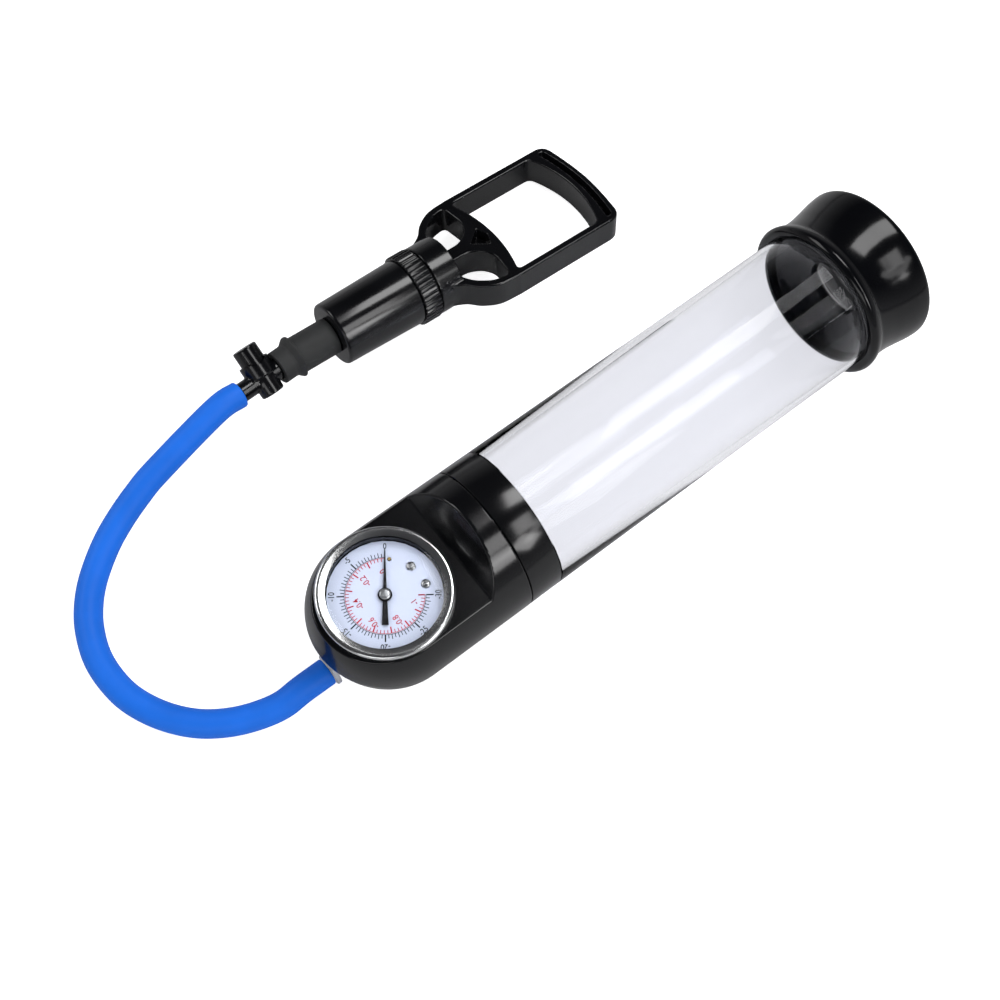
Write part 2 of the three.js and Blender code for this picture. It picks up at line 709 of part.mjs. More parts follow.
// The brass block that carries the tube's root and screws into the head.
function gaugeSocket() {
  const blockFoot = caseFloor + CASE_WALL + GAP;
  const blockTop = movementLow - GAP;
  const stem = bar(stemFoot, blockFoot + 0.5, stemR, 0, "z", FINE);
  const core = block([-4, -4, blockFoot], [4, 4, blockTop]);
  const armTop = tubeLoopZ + TUBE_LOOP_HEIGHT / 2 + 0.4;
  const arm = placed(block([0, -3.5, blockFoot], [TUBE_LOOP_R + 1.4, 3.5, armTop]), {
    turn: [0, 0, loopRoot / degrees],
  });
  const bore = bar(stemFoot - 1, blockFoot + 3, 1.2, 0, "z", SMALL);
  return cut(join(stem, core, arm), bore);
}

const pillarSpots = [[-6, 4.5], [6, 4.5]];

function movementLower() {
  const nearSide = [[3, sectorY - 2.4], [8.5, -4], [8.5, 7.5]];
  const farSide = nearSide.map(([x, y]) => [-x, y]).reverse();
  const outline = rounded([...farSide, ...nearSide], 2.5);
  const plate = raised(outline, movementLow, movementLow + plateThickness, 4);
  const arborHole = bar(movementLow - 1, movementLow + 2, arborR, 0, "z", SMALL);
  const shaftHole = placed(arborHole, { move: [0, sectorY, 0] });
  return cut(plate, arborHole, shaftHole);
}

function movementUpper() {
  const plate = bar(movementHigh, movementHigh + plateThickness, TUBE_LOOP_R, arborR + GAP, "z", FINE);
  const shaftHole = placed(bar(movementHigh - 1, movementHigh + 2, 0.8, 0, "z", SMALL), {
    move: [0, sectorY, 0],
  });
  return cut(plate, shaftHole);
}

function movementPillar([x, y]) {
  const low = movementLow + plateThickness + GAP;
  return placed(bar(low, movementHigh - GAP, 1.2, 0, "z", SMALL), { move: [x, y, 0] });
}

// A flat spiral of thin wire round the arbor.
function hairspring() {
  const [turns, stepsPerTurn, innerR, growth] = [2.5, 14, 1.25, 1.1];
  const [half, low] = [0.12, movementHigh - 1.6];
  const spots = [];
  for (let i = 0; i <= turns * stepsPerTurn; i += 1) {
    const angle = (i / stepsPerTurn) * 2 * Math.PI;
    const radius = innerR + (growth * i) / stepsPerTurn;
    for (const [side, rise] of [[-half, 0], [half, 0], [half, 0.4], [-half, 0.4]]) {
      const r = radius + side;
      spots.push(new THREE.Vector3(r * Math.cos(angle), r * Math.sin(angle), low + rise));
    }
  }
  return solid(strip(spots, 4));
}

function gauge() {
  const group = new THREE.Group();
  group.add(
    piece("gauge_case", gaugeCase(), "gloss"),
    piece("gauge_bezel", gaugeBezel(), "chrome"),
    piece("gauge_lens", bar(lensFoot, lensTop, lensR, 0, "z"), "acrylic"),
    piece("gauge_dial", gaugeDial(), "dial"),
    piece("dial_screw_upper", dialScrew(dialScrewSpots[0]), "chrome"),
    piece("dial_screw_lower", dialScrew(dialScrewSpots[1]), "chrome"),
    piece("stop_pin", stopPin(), "brass"),
    piece("pointer", pointer(), "needle"),
    piece("pointer_hub", pointerHub(), "chrome"),
    piece("pointer_arbor", pointerArbor(), "brass"),
    piece("hairspring", hairspring(), "brass"),
    piece("sector_gear", sectorGear(), "brass"),
    piece("gauge_link", gaugeLink(), "brass"),
    piece("bourdon_tube", bourdonTube(), "brass"),
    piece("bourdon_tip", bourdonTip(), "brass"),
    piece("gauge_socket", gaugeSocket(), "brass"),
    piece("movement_plate_lower", movementLower(), "brass"),
    piece("movement_plate_upper", movementUpper(), "brass"),
    piece("movement_pillar_left", movementPillar(pillarSpots[0]), "brass"),
    piece("movement_pillar_right", movementPillar(pillarSpots[1]), "brass"),
  );
  return group;
}

// ---------------------------------------------------------------- release valve and adapter

const valvePlace = VALVE_X - RIDGE_X;
const recessFloor = 3;
const stemBoreFloor = -5.9;
const buttonSkirt = recessFloor + BUTTON_TRAVEL + 0.5;
const buttonStemR = 1.4;
const valveSealZ = recessFloor - 1 - GAP - 0.45;

// Along the valve's own cross axis, upwards, about the point where the airway crosses it.
const crossTurn = { turn: [VALVE_TILT - 90, 0, 0], move: [valvePlace, 0, 0] };

function valveBody() {
  const hoseEnd = HOSE_END_X - RIDGE_X;
  const spigotEndX = -3.6;
  const straight = turned([
    [hoseEnd, 0],
    [hoseEnd, VALVE_NECK_R],
    [valvePlace, VALVE_NECK_R],
    [valvePlace, 4.5],
    [spigotEndX - 0.6, 4.5],
    [spigotEndX, 3.9],
    [spigotEndX, 0],
  ], "x", FINE);
  const tail = barb(hoseEnd - BARB_LENGTH, hoseEnd + 1);
  const cross = turned([
    [VALVE_BODY_LOW, 0],
    [VALVE_BODY_LOW, VALVE_BODY_R - 1],
    [VALVE_BODY_LOW + 0.3, VALVE_BODY_R - 0.3],
    [VALVE_BODY_LOW + 1, VALVE_BODY_R],
    [VALVE_COLLAR_LOW, VALVE_BODY_R],
    [VALVE_COLLAR_LOW + 0.5, VALVE_COLLAR_R],
    [VALVE_COLLAR_TOP - 0.4, VALVE_COLLAR_R],
    [VALVE_COLLAR_TOP, VALVE_COLLAR_R - 0.4],
    [VALVE_COLLAR_TOP, 0],
  ], "z", FINE);
  const wells = turned([
    [stemBoreFloor, 0],
    [stemBoreFloor, 2.9],
    [recessFloor - 1, 2.9],
    [recessFloor - 1, buttonStemR + GAP],
    [recessFloor, buttonStemR + GAP],
    [recessFloor, BUTTON_R + GAP],
    [VALVE_COLLAR_TOP + 1, BUTTON_R + GAP],
    [VALVE_COLLAR_TOP + 1, 0],
  ], "z", FINE);
  const airway = bar(hoseEnd - BARB_LENGTH - 1, spigotEndX + 1, AIRWAY_R, 0, "x", SMALL);
  return cut(join(straight, tail, placed(cross, crossTurn)), placed(wells, crossTurn), airway);
}

function releaseButton() {
  const cap = turned([
    [valveSealZ - 1.1, 0],
    [valveSealZ - 1.1, 2.3],
    [valveSealZ - 0.8, 2.3],
    [valveSealZ - 0.8, buttonStemR],
    [BUTTON_TOP - 1.6, buttonStemR],
    [BUTTON_TOP - 1.6, BUTTON_R - 0.9],
    [buttonSkirt, BUTTON_R - 0.9],
    [buttonSkirt, BUTTON_R],
    [BUTTON_TOP - 0.5, BUTTON_R],
    [BUTTON_TOP, BUTTON_R - 0.5],
    [BUTTON_TOP, 0],
  ], "z", FINE);
  const notches = [-35, 35].map((angle) =>
    placed(block([BUTTON_R - 0.5, -0.45, 8.4], [BUTTON_R + 1, 0.45, 11.6]), {
      turn: [0, 0, angle - 90],
    }),
  );
  return placed(cut(cap, ...notches), crossTurn);
}

function valveSpring() {
  const [turns, stepsPerTurn, coilR, wireR] = [4, 10, 3, 0.3];
  const low = recessFloor + GAP + wireR;
  const high = BUTTON_TOP - 1.6 - GAP - wireR;
  const spots = [];
  for (let i = 0; i <= turns * stepsPerTurn; i += 1) {
    const angle = (i / stepsPerTurn) * 2 * Math.PI;
    const height = low + ((high - low) * i) / (turns * stepsPerTurn);
    for (let k = 0; k < 5; k += 1) {
      const r = coilR + wireR * Math.cos(k * 72 * degrees);
      const z = height + wireR * Math.sin(k * 72 * degrees);
      spots.push(new THREE.Vector3(r * Math.cos(angle), r * Math.sin(angle), z));
    }
  }
  return placed(solid(strip(spots, 5)), crossTurn);
}

const valveSeal = () => placed(sealRing(valveSealZ, 2.15, 0.45, "z", SMALL), crossTurn);

const nozzleR = 3.6;
const nozzleLength = 9;

// The rubber adapter, bent at its ridge: the valve's end follows the valve, the rest the barrel.
function rubberAdapter() {
  const front = turned([
    [ADAPTER_FRONT_X - RIDGE_X, 0],
    [ADAPTER_FRONT_X - RIDGE_X, ADAPTER_FRONT_R - 0.4],
    [ADAPTER_FRONT_X - RIDGE_X + 0.4, ADAPTER_FRONT_R],
    [-3.2, ADAPTER_FRONT_R],
    [-2.2, ADAPTER_FRONT_R + 0.3],
    [-0.4, RIDGE_R - 0.3],
    [0.2, RIDGE_R],
    [0.7, RIDGE_R - 0.2],
    [0.9, ADAPTER_REAR_R],
    [0.9, 0],
  ], "x", FINE);
  const rear = bar(RIDGE_X, -GAP, ADAPTER_REAR_R, 0, "x", FINE);
  const frontBore = turned([
    [ADAPTER_FRONT_X - RIDGE_X - 1, 0],
    [ADAPTER_FRONT_X - RIDGE_X - 1, 4.5 + GAP],
    [-3.6 + GAP, 4.5 + GAP],
    [-3.6 + GAP, 1.5],
    [1, 1.5],
    [1, 0],
  ], "x", FINE);
  const rearBore = turned([
    [RIDGE_X - 0.6, 0],
    [RIDGE_X - 0.6, 1.5],
    [-nozzleLength - GAP, 1.5],
    [-nozzleLength - GAP, nozzleR + GAP],
    [1, nozzleR + GAP],
    [1, 0],
  ], "x", FINE);
  const follow = { turn: [0, 0, ADAPTER_BEND], move: [RIDGE_X, 0, 0] };
  return cut(join(placed(front, follow), rear), placed(frontBore, follow), rearBore);
}

function releaseValve() {
  const group = new THREE.Group();
  group.position.set(RIDGE_X, 0, 0);
  group.rotation.z = ADAPTER_BEND * degrees;
  group.add(
    piece("valve_body", valveBody(), "gloss"),
    piece("release_button", releaseButton(), "gloss"),
    piece("valve_spring", valveSpring(), "steel"),
    piece("valve_seal", valveSeal(), "rubber"),
  );
  return group;
}

// ---------------------------------------------------------------- piston pump

const chamberStart = BARREL_FRONT_WALL;
const pistonStart = chamberStart + 2.2;
const pistonEnd = pistonStart + PISTON_LENGTH;
const pistonR = BARREL_BORE_R - GAP;
const pistonSealR = 1;
const capPlugStart = pistonEnd + STROKE + GAP;
const bushR = 5;

function pumpBarrel() {
  return turned([
    [-nozzleLength, AIRWAY_R],
    [-nozzleLength, nozzleR - 0.4],
    [-nozzleLength + 0.6, nozzleR],
    [0, nozzleR],
    [0, BARREL_FRONT_R - 1.2],
    [0.4, BARREL_FRONT_R - 0.4],
    [1.2, BARREL_FRONT_R],
    [BARREL_LENGTH - 0.3, BARREL_REAR_R],
    [BARREL_LENGTH, BARREL_REAR_R - 0.3],
    [BARREL_LENGTH, BARREL_BORE_R],
    [chamberStart, BARREL_BORE_R],
    [chamberStart, AIRWAY_R],
  ]);
}

// The rubber flap that lets air out of the hose side and not back, on the front wall.
const inletFlap = () => bar(chamberStart + GAP, chamberStart + GAP + 0.6, 5, 0.5, "x", FINE);

// The cap at the barrel's rear, ribbed for the fingers, with a plug that screws into the bore.
function knurledCap() {
  const ribs = new THREE.Shape();
  for (let i = 0; i < KNURL_RIBS; i += 1) {
    const pitch = (2 * Math.PI) / KNURL_RIBS;
    const corners = [[0, CAP_R - KNURL_DEPTH], [0.25, CAP_R], [0.6, CAP_R], [0.85, CAP_R - KNURL_DEPTH]];
    for (const [part, radius] of corners) {
      const angle = (i + part) * pitch;
      const spot = [radius * Math.cos(angle), radius * Math.sin(angle)];
      if (i === 0 && part === 0) ribs.moveTo(...spot);
      else ribs.lineTo(...spot);
    }
  }
  ribs.closePath();
  const outside = placed(raised(ribs, capStart, capEnd), { turn: [0, 90, 0] });
  const plug = bar(capPlugStart, capStart + 1, pistonR);
  const inside = turned([
    [capPlugStart - 1, 0],
    [capPlugStart - 1, pistonR - 2],
    [capEnd - 2.4, pistonR - 2],
    [capEnd - 2.4, bushR + GAP],
    [capEnd + 1, bushR + GAP],
    [capEnd + 1, 0],
  ]);
  return cut(join(outside, plug), inside);
}

// The bush that guides the rod, held in the cap's hole by its flange.
function rodBush() {
  return turned([
    [capEnd - 4.6, ROD_R + GAP],
    [capEnd - 4.6, bushR + 2],
    [capEnd - 2.4 - GAP, bushR + 2],
    [capEnd - 2.4 - GAP, bushR],
    [capEnd - 0.2, bushR],
    [capEnd - 0.2, ROD_R + GAP],
  ], "x", FINE);
}

const rodRoot = ringStart + RING_LENGTH - 4;

function pistonRod() {
  return turned([
    [pistonEnd + GAP, 0.9 + GAP],
    [pistonEnd + GAP, ROD_R],
    [rodRoot, ROD_R],
    [rodRoot, 0],
    [pistonEnd + 7, 0],
    [pistonEnd + 7, 0.9 + GAP],
  ], "x", FINE);
}

function piston() {
  const middle = (pistonStart + pistonEnd) / 2;
  const grooveHalf = pistonSealR + GAP;
  const grooveR = pistonR - 2 * pistonSealR - GAP;
  return turned([
    [pistonStart, 0.9 + GAP],
    [pistonStart, pistonR],
    [middle - grooveHalf, pistonR],
    [middle - grooveHalf, grooveR],
    [middle + grooveHalf, grooveR],
    [middle + grooveHalf, pistonR],
    [pistonEnd, pistonR],
    [pistonEnd, 0.9 + GAP],
  ]);
}

function pistonSeal() {
  const middle = (pistonStart + pistonEnd) / 2;
  return sealRing(middle, pistonR - pistonSealR, pistonSealR - 0.05);
}

const outletFlap = () => bar(pistonEnd + GAP, pistonEnd + GAP + 0.6, pistonR - 3.5, ROD_R + GAP, "x", FINE);

function pistonScrew() {
  const headStart = pistonStart - GAP - 1;
  return turned([
    [headStart, 0],
    [headStart, 1.9],
    [pistonStart - GAP, 1.9],
    [pistonStart - GAP, 0.9],
    [pistonEnd + 6, 0.9],
    [pistonEnd + 6, 0],
  ], "x", SMALL);
}

// ---------------------------------------------------------------- handle

// Points along a shallow arc that bows outwards, from one side of the handle to the other.
function bowed(side, end, half, count) {
  const points = [];
  for (let i = 0; i <= count; i += 1) {
    const across = half * ((2 * i) / count - 1);
    points.push([end - (end - side) * (across / half) ** 2, across]);
  }
  return points;
}

const mirrored = (points) => points.map(([x, y]) => [x, -y]).reverse();
const armInner = HANDLE_HALF - ARM_WIDTH;

function handleOutline() {
  const flank = [[5.8, -14.6], [7.8, -15.6], [10.8, -17.6], [15, -22], [21.9, -25.7]];
  const nearSide = [...flank, [31.3, -HANDLE_HALF]];
  const shape = new THREE.Shape();
  shape.moveTo(...nearSide[0]);
  shape.splineThru(nearSide.slice(1).map((point) => new THREE.Vector2(...point)));
  const end = bowed(HANDLE_END_SIDE, HANDLE_END, HANDLE_HALF - 2.4, 10);
  shape.lineTo(HANDLE_END_SIDE - 4, -HANDLE_HALF + 0.1);
  shape.quadraticCurveTo(HANDLE_END_SIDE - 1, -HANDLE_HALF, ...end[0]);
  for (const point of end.slice(1)) shape.lineTo(...point);
  shape.quadraticCurveTo(HANDLE_END_SIDE - 1, HANDLE_HALF, HANDLE_END_SIDE - 4, HANDLE_HALF - 0.1);
  const farSide = mirrored(nearSide);
  shape.lineTo(...farSide[0]);
  shape.splineThru(farSide.slice(1).map((point) => new THREE.Vector2(...point)));
  shape.closePath();
  return shape;
}

// The opening that the hand goes through.
function gripWindow() {
  const inner = bowed(CROSSBAR_SIDE, CROSSBAR_END, armInner, 8);
  const outer = bowed(HANDLE_END - GRIP_BAR - GRIP_BAR_BOW, HANDLE_END - GRIP_BAR, armInner, 8);
  return rounded([...inner, ...outer.reverse()], 2.4);
}

// A finger opening between the stem, the crossbar, an arm and the ring.
function fingerWindow() {
  const low = RING_LENGTH + 0.01;
  const high = CROSSBAR_SIDE - CROSSBAR_WIDTH;
  const stem = STEM_WIDTH / 2;
  return rounded([
    [low, stem],
    [high - 8, stem],
    [high - 2.4, stem + 3],
    [high + 0.6, stem + 8],
    [high - 0.8, armInner],
    [20.8, 22],
    [low + 3.4, 17.4],
    [low, 12],
  ], 2.6);
}

// The hollow between the stem's two feet and the crossbar, open at the face.
function stemPocket() {
  const back = CROSSBAR_END - CROSSBAR_WIDTH + 0.9;
  return rounded([[back - 9, 0], [back - 2.2, 5.2], [back, 0], [back - 2.2, -5.2]], 0.8);
}

// The long curved hollow in the grip bar, open at the face.
function gripPocket() {
  const half = armInner + 0.3;
  const outer = bowed(HANDLE_END_SIDE - 2, HANDLE_END - 2.4, half, 8);
  const inner = bowed(HANDLE_END_SIDE - 4.8, HANDLE_END - 5.2, half, 8);
  return rounded([...inner, ...outer.reverse()], 1);
}

function handle() {
  const halfHeight = HANDLE_HEIGHT / 2;
  const slab = raised(handleOutline(), -halfHeight, halfHeight, 3);
  const ring = turned([
    [0, 0],
    [0, RING_R - 0.3],
    [0.3, RING_R],
    [RING_LENGTH - 0.4, RING_R],
    [RING_LENGTH, RING_R - 0.4],
    [RING_LENGTH, 0],
  ]);
  const hollow = turned([
    [-1, 0],
    [-1, RING_R - RING_WALL],
    [RING_LENGTH - RING_WALL, RING_R - RING_WALL],
    [RING_LENGTH - RING_WALL, ROD_R + 2.5],
    [2, ROD_R + 2.5],
    [2, 0],
  ]);
  const rodBore = bar(0, rodRoot + GAP - ringStart, ROD_R + GAP, 0, "x", FINE);
  const windows = [gripWindow(), fingerWindow()].map((shape) => raised(shape, -20, 20, 3));
  windows.push(placed(windows[1], { turn: [180, 0, 0] }));
  const pockets = [stemPocket(), gripPocket()].flatMap((shape) => {
    const upper = raised(shape, halfHeight - POCKET_DEPTH, halfHeight + 1, 3);
    return [upper, placed(upper, { turn: [180, 0, 0] })];
  });
  const whole = cut(join(slab, ring), hollow, rodBore, ...windows, ...pockets);
  return placed(whole, { move: [ringStart, 0, 0] });
}

function pump() {
  const group = new THREE.Group();
  const [pitch, yaw, roll] = [PUMP_PITCH, PUMP_YAW, PUMP_ROLL].map((angle) => angle * degrees);
  const height = capEnd * Math.sin(pitch) + CAP_R * Math.cos(pitch);
  group.position.set(PUMP_PLACE.x, PUMP_PLACE.y, height);
  group.rotation.set(roll, pitch, yaw, "ZYX");
  group.add(
    releaseValve(),
    piece("rubber_adapter", rubberAdapter(), "rubber"),
    piece("pump_barrel", pumpBarrel(), "gloss"),
    piece("inlet_flap", inletFlap(), "rubber"),
    piece("knurled_cap", knurledCap(), "gloss"),
    piece("rod_bush", rodBush(), "dial"),
    piece("piston_rod", pistonRod(), "steel"),
    piece("piston", piston(), "gloss"),
    piece("piston_seal", pistonSeal(), "rubber"),
    piece("outlet_flap", outletFlap(), "rubber"),
    piece("piston_screw", pistonScrew(), "steel"),
    piece("handle", handle(), "gloss"),
  );
  return group;
}

// ---------------------------------------------------------------- hose

// The hose lies on the surface, as points between its two straight ends.
const hoseRoute = [
  [-34.7, 103.8, 16.2],
  [-45.4, 101.2, 13.8],
  [-55.7, 97.7, 11.4],
  [-65, 93.4, 9.4],
  [-73.9, 87.5, 7.8],
  [-81, 81.3, 6.7],
  [-86.7, 74, 6],
  [-90.4, 66.8, 5.7],
  [-93.2, 57.8, 5.7],
  [-93.9, 48.5, 5.7],
  [-92.7, 38.3, 5.7],
  [-89.1, 28.7, 5.7],
  [-83.6, 19.8, 5.7],
  [-76.6, 12.3, 5.7],
  [-68, 6.4, 5.8],
  [-58.7, 2.3, 6.1],
  [-49.1, -0.1, 6.7],
];

// The hose's end against a fitting, and a point further along its straight start.
function hoseStart(group, place, way) {
  return [0, 12].map((run) => {
    const spot = new THREE.Vector3(place[0] + way * (GAP + run), place[1], place[2]);
    return spot.applyMatrix4(group.matrixWorld);
  });
}

function hose(points) {
  const ring = (radius) => {
    const spots = [];
    for (let i = 0; i < HOSE_SIDES; i += 1) {
      const angle = (2 * Math.PI * i) / HOSE_SIDES;
      spots.push(new THREE.Vector2(radius * Math.cos(angle), radius * Math.sin(angle)));
    }
    return spots;
  };
  const section = new THREE.Shape(ring(HOSE_R));
  section.holes.push(new THREE.Path(ring(HOSE_BORE_R).reverse()));
  const extrudePath = new THREE.CatmullRomCurve3(points, false, "centripetal");
  return solid(new THREE.ExtrudeGeometry(section, { steps: HOSE_STEPS, extrudePath }));
}

// ---------------------------------------------------------------- the whole

const model = new THREE.Group();
const chamberGroup = chamber();
chamberGroup.add(gauge());
chamberGroup.position.z = chamberHeight;
chamberGroup.rotation.y = -tilt;
const pumpGroup = pump();
model.add(chamberGroup, pumpGroup);
model.updateMatrixWorld(true);

const standing = new THREE.Box3().setFromObject(model, true);
const valveGroup = pumpGroup.children[0];
const fromPump = hoseStart(valveGroup, [HOSE_END_X - RIDGE_X, 0, 0], -1);
const fromHead = hoseStart(chamberGroup, [flangeStart, 0, -passageDrop], -1).reverse();
const between = hoseRoute.map((point) => new THREE.Vector3(...point));
model.add(piece("hose", hose([...fromPump, ...between, ...fromHead]), "hose"));

// The origin is below the middle of the box of all but the hose.
const middle = standing.getCenter(new THREE.Vector3());
model.position.set(-middle.x, -middle.y, -standing.min.z);

export default model;
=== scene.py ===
# The looks of a hand vacuum pump: clear cylinder, gauge head, mouth sleeve, hose, release valve and
# piston pump. Lengths are written in millimetres and turned into metres where a mesh is made.

import math

import bmesh
import bpy
import numpy as np
from mathutils import Matrix, Vector


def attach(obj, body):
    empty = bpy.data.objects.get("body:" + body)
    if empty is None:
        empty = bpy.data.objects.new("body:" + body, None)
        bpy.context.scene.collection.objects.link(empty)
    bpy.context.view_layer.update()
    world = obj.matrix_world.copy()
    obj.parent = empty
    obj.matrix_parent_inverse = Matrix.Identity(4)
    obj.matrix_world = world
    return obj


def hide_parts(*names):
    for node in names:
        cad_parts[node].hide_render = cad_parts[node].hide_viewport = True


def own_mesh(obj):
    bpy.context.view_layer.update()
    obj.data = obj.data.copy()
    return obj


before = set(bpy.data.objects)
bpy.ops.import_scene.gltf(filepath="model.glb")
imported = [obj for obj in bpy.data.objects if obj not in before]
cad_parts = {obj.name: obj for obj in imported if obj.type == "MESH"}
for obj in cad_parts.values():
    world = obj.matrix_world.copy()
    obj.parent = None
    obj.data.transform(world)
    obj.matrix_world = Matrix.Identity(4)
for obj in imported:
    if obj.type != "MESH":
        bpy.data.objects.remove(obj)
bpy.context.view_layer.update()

MM = 0.001

# ---------------------------------------------------------------- main sizes, as in the CAD source

GAP = 0.3

# the chamber, along the cylinder's axis from the gauge's
TUBE_R = 30.0
BORE_R = 27.0
NECK_R = 28.5
TUBE_END = 224.0
HEAD_FRONT = 44.9
COLLAR_START = HEAD_FRONT + GAP
COLLAR_END = COLLAR_START + 13.5
FLAT_HEIGHT = 16
TAIL_TOP_PULL = 3.1
TAIL_LOW_PULL = 9.6
TAIL_FOOT = TUBE_R - TAIL_LOW_PULL
SLEEVE_END = 246.0
FLARE_X = SLEEVE_END - 2.2
FLARE_R = 34.4
PASSAGE_DROP = 22.0
CASE_R = 22.5

# the pump, along its own axis from the barrel's front
BARREL_LENGTH = 36.8
BARREL_BORE_R = 11.8
CAP_R = 15.7
CAP_START = BARREL_LENGTH + GAP
CAP_END = CAP_START + 8
RIDGE_X = -18.4
ADAPTER_BEND = 5.0
VALVE_X = -33.8
VALVE_TILT = 40
HOSE_END_X = -45.3

# ---------------------------------------------------------------- places


def turned(degrees, axis):
    return Matrix.Rotation(math.radians(degrees), 4, axis)


def moved(x, y=0.0, z=0.0):
    return Matrix.Translation((x, y, z))


SHIFT = Vector((-104.2806, -51.792, 0.2069))
TILT = math.atan2(FLARE_R - TUBE_R, FLARE_X + TAIL_FOOT)
CHAMBER_HEIGHT = TUBE_R * math.cos(TILT) + TAIL_FOOT * math.sin(TILT)
CHAMBER = moved(*SHIFT) @ moved(0, 0, CHAMBER_HEIGHT) @ Matrix.Rotation(-TILT, 4, "Y")
PUMP_AT = SHIFT + Vector((54.6, 111.8, 18.0774))
PUMP = moved(*PUMP_AT) @ turned(-0.9, "Z") @ turned(3.05, "Y") @ turned(-9.7, "X")
VALVE = PUMP @ moved(RIDGE_X) @ turned(ADAPTER_BEND, "Z")
CROSS = VALVE @ moved(VALVE_X - RIDGE_X) @ turned(VALVE_TILT - 90, "X")
ROOT = "chamber_and_barrel"

# ---------------------------------------------------------------- materials


def tree(name):
    mat = bpy.data.materials.new(name)
    mat.use_nodes = True
    nodes = mat.node_tree.nodes
    return mat, nodes, mat.node_tree.links, nodes["Principled BSDF"]


def moulded(name, colour, rough, spread=0.05, grain=900.0, bump=0.02, shift=0.25, spec=0.5):
    """Moulded plastic or rubber: colour and gloss that vary a little, over a fine skin."""
    mat, nodes, links, shader = tree(name)
    shader.inputs["Specular IOR Level"].default_value = spec
    coords = nodes.new("ShaderNodeTexCoord")
    broad = nodes.new("ShaderNodeTexNoise")
    broad.inputs["Scale"].default_value = 60.0
    broad.inputs["Detail"].default_value = 4.0
    links.new(coords.outputs["Object"], broad.inputs["Vector"])
    ramp = nodes.new("ShaderNodeValToRGB")
    ramp.color_ramp.elements[0].position = 0.3
    ramp.color_ramp.elements[1].position = 0.7
    ramp.color_ramp.elements[0].color = (*[c * (1 - shift) for c in colour], 1)
    ramp.color_ramp.elements[1].color = (*[min(1.0, c * (1 + shift)) for c in colour], 1)
    links.new(broad.outputs["Fac"], ramp.inputs["Fac"])
    links.new(ramp.outputs["Color"], shader.inputs["Base Color"])
    gloss = nodes.new("ShaderNodeMapRange")
    gloss.inputs["To Min"].default_value = max(0.02, rough - spread)
    gloss.inputs["To Max"].default_value = rough + spread
    links.new(broad.outputs["Fac"], gloss.inputs["Value"])
    links.new(gloss.outputs["Result"], shader.inputs["Roughness"])
    fine = nodes.new("ShaderNodeTexNoise")
    fine.inputs["Scale"].default_value = grain
    fine.inputs["Detail"].default_value = 2.0
    links.new(coords.outputs["Object"], fine.inputs["Vector"])
    skin = nodes.new("ShaderNodeBump")
    skin.inputs["Strength"].default_value = bump
    skin.inputs["Distance"].default_value = 0.0001
    links.new(fine.outputs["Fac"], skin.inputs["Height"])
    links.new(skin.outputs["Normal"], shader.inputs["Normal"])
    return mat


def metal(name, colour, rough, spread=0.05, grain=400.0, bump=0.03):
    mat = moulded(name, colour, rough, spread, grain, bump, 0.06)
    mat.node_tree.nodes["Principled BSDF"].inputs["Metallic"].default_value = 1.0
    return mat


def clear(name, colour, rough, ior, wear, spec):
    """Clear plastic that lets lamps through to what is behind it, with faint rubbed haze."""
    mat, nodes, links, shader = tree(name)
    shader.inputs["Transmission Weight"].default_value = 1.0
    shader.inputs["IOR"].default_value = ior
    shader.inputs["Specular IOR Level"].default_value = spec
    coords = nodes.new("ShaderNodeTexCoord")
    haze = nodes.new("ShaderNodeTexNoise")
    haze.inputs["Scale"].default_value = 35.0
    haze.inputs["Detail"].default_value = 5.0
    links.new(coords.outputs["Object"], haze.inputs["Vector"])
    gloss = nodes.new("ShaderNodeMapRange")
    gloss.inputs["From Min"].default_value = 0.45
    gloss.inputs["From Max"].default_value = 0.75
    gloss.inputs["To Min"].default_value = rough
    gloss.inputs["To Max"].default_value = rough + wear
    links.new(haze.outputs["Fac"], gloss.inputs["Value"])
    links.new(gloss.outputs["Result"], shader.inputs["Roughness"])
    tint = nodes.new("ShaderNodeValToRGB")
    tint.color_ramp.elements[0].color = (*colour, 1)
    tint.color_ramp.elements[1].color = (*[min(1.0, c * 1.01) for c in colour], 1)
    links.new(haze.outputs["Fac"], tint.inputs["Fac"])
    links.new(tint.outputs["Color"], shader.inputs["Base Color"])
    path = nodes.new("ShaderNodeLightPath")
    see = nodes.new("ShaderNodeBsdfTransparent")
    see.inputs["Color"].default_value = (*[c * 0.97 for c in colour], 1)
    mix = nodes.new("ShaderNodeMixShader")
    links.new(path.outputs["Is Shadow Ray"], mix.inputs["Fac"])
    links.new(shader.outputs["BSDF"], mix.inputs[1])
    links.new(see.outputs["BSDF"], mix.inputs[2])
    links.new(mix.outputs["Shader"], nodes["Material Output"].inputs["Surface"])
    return mat


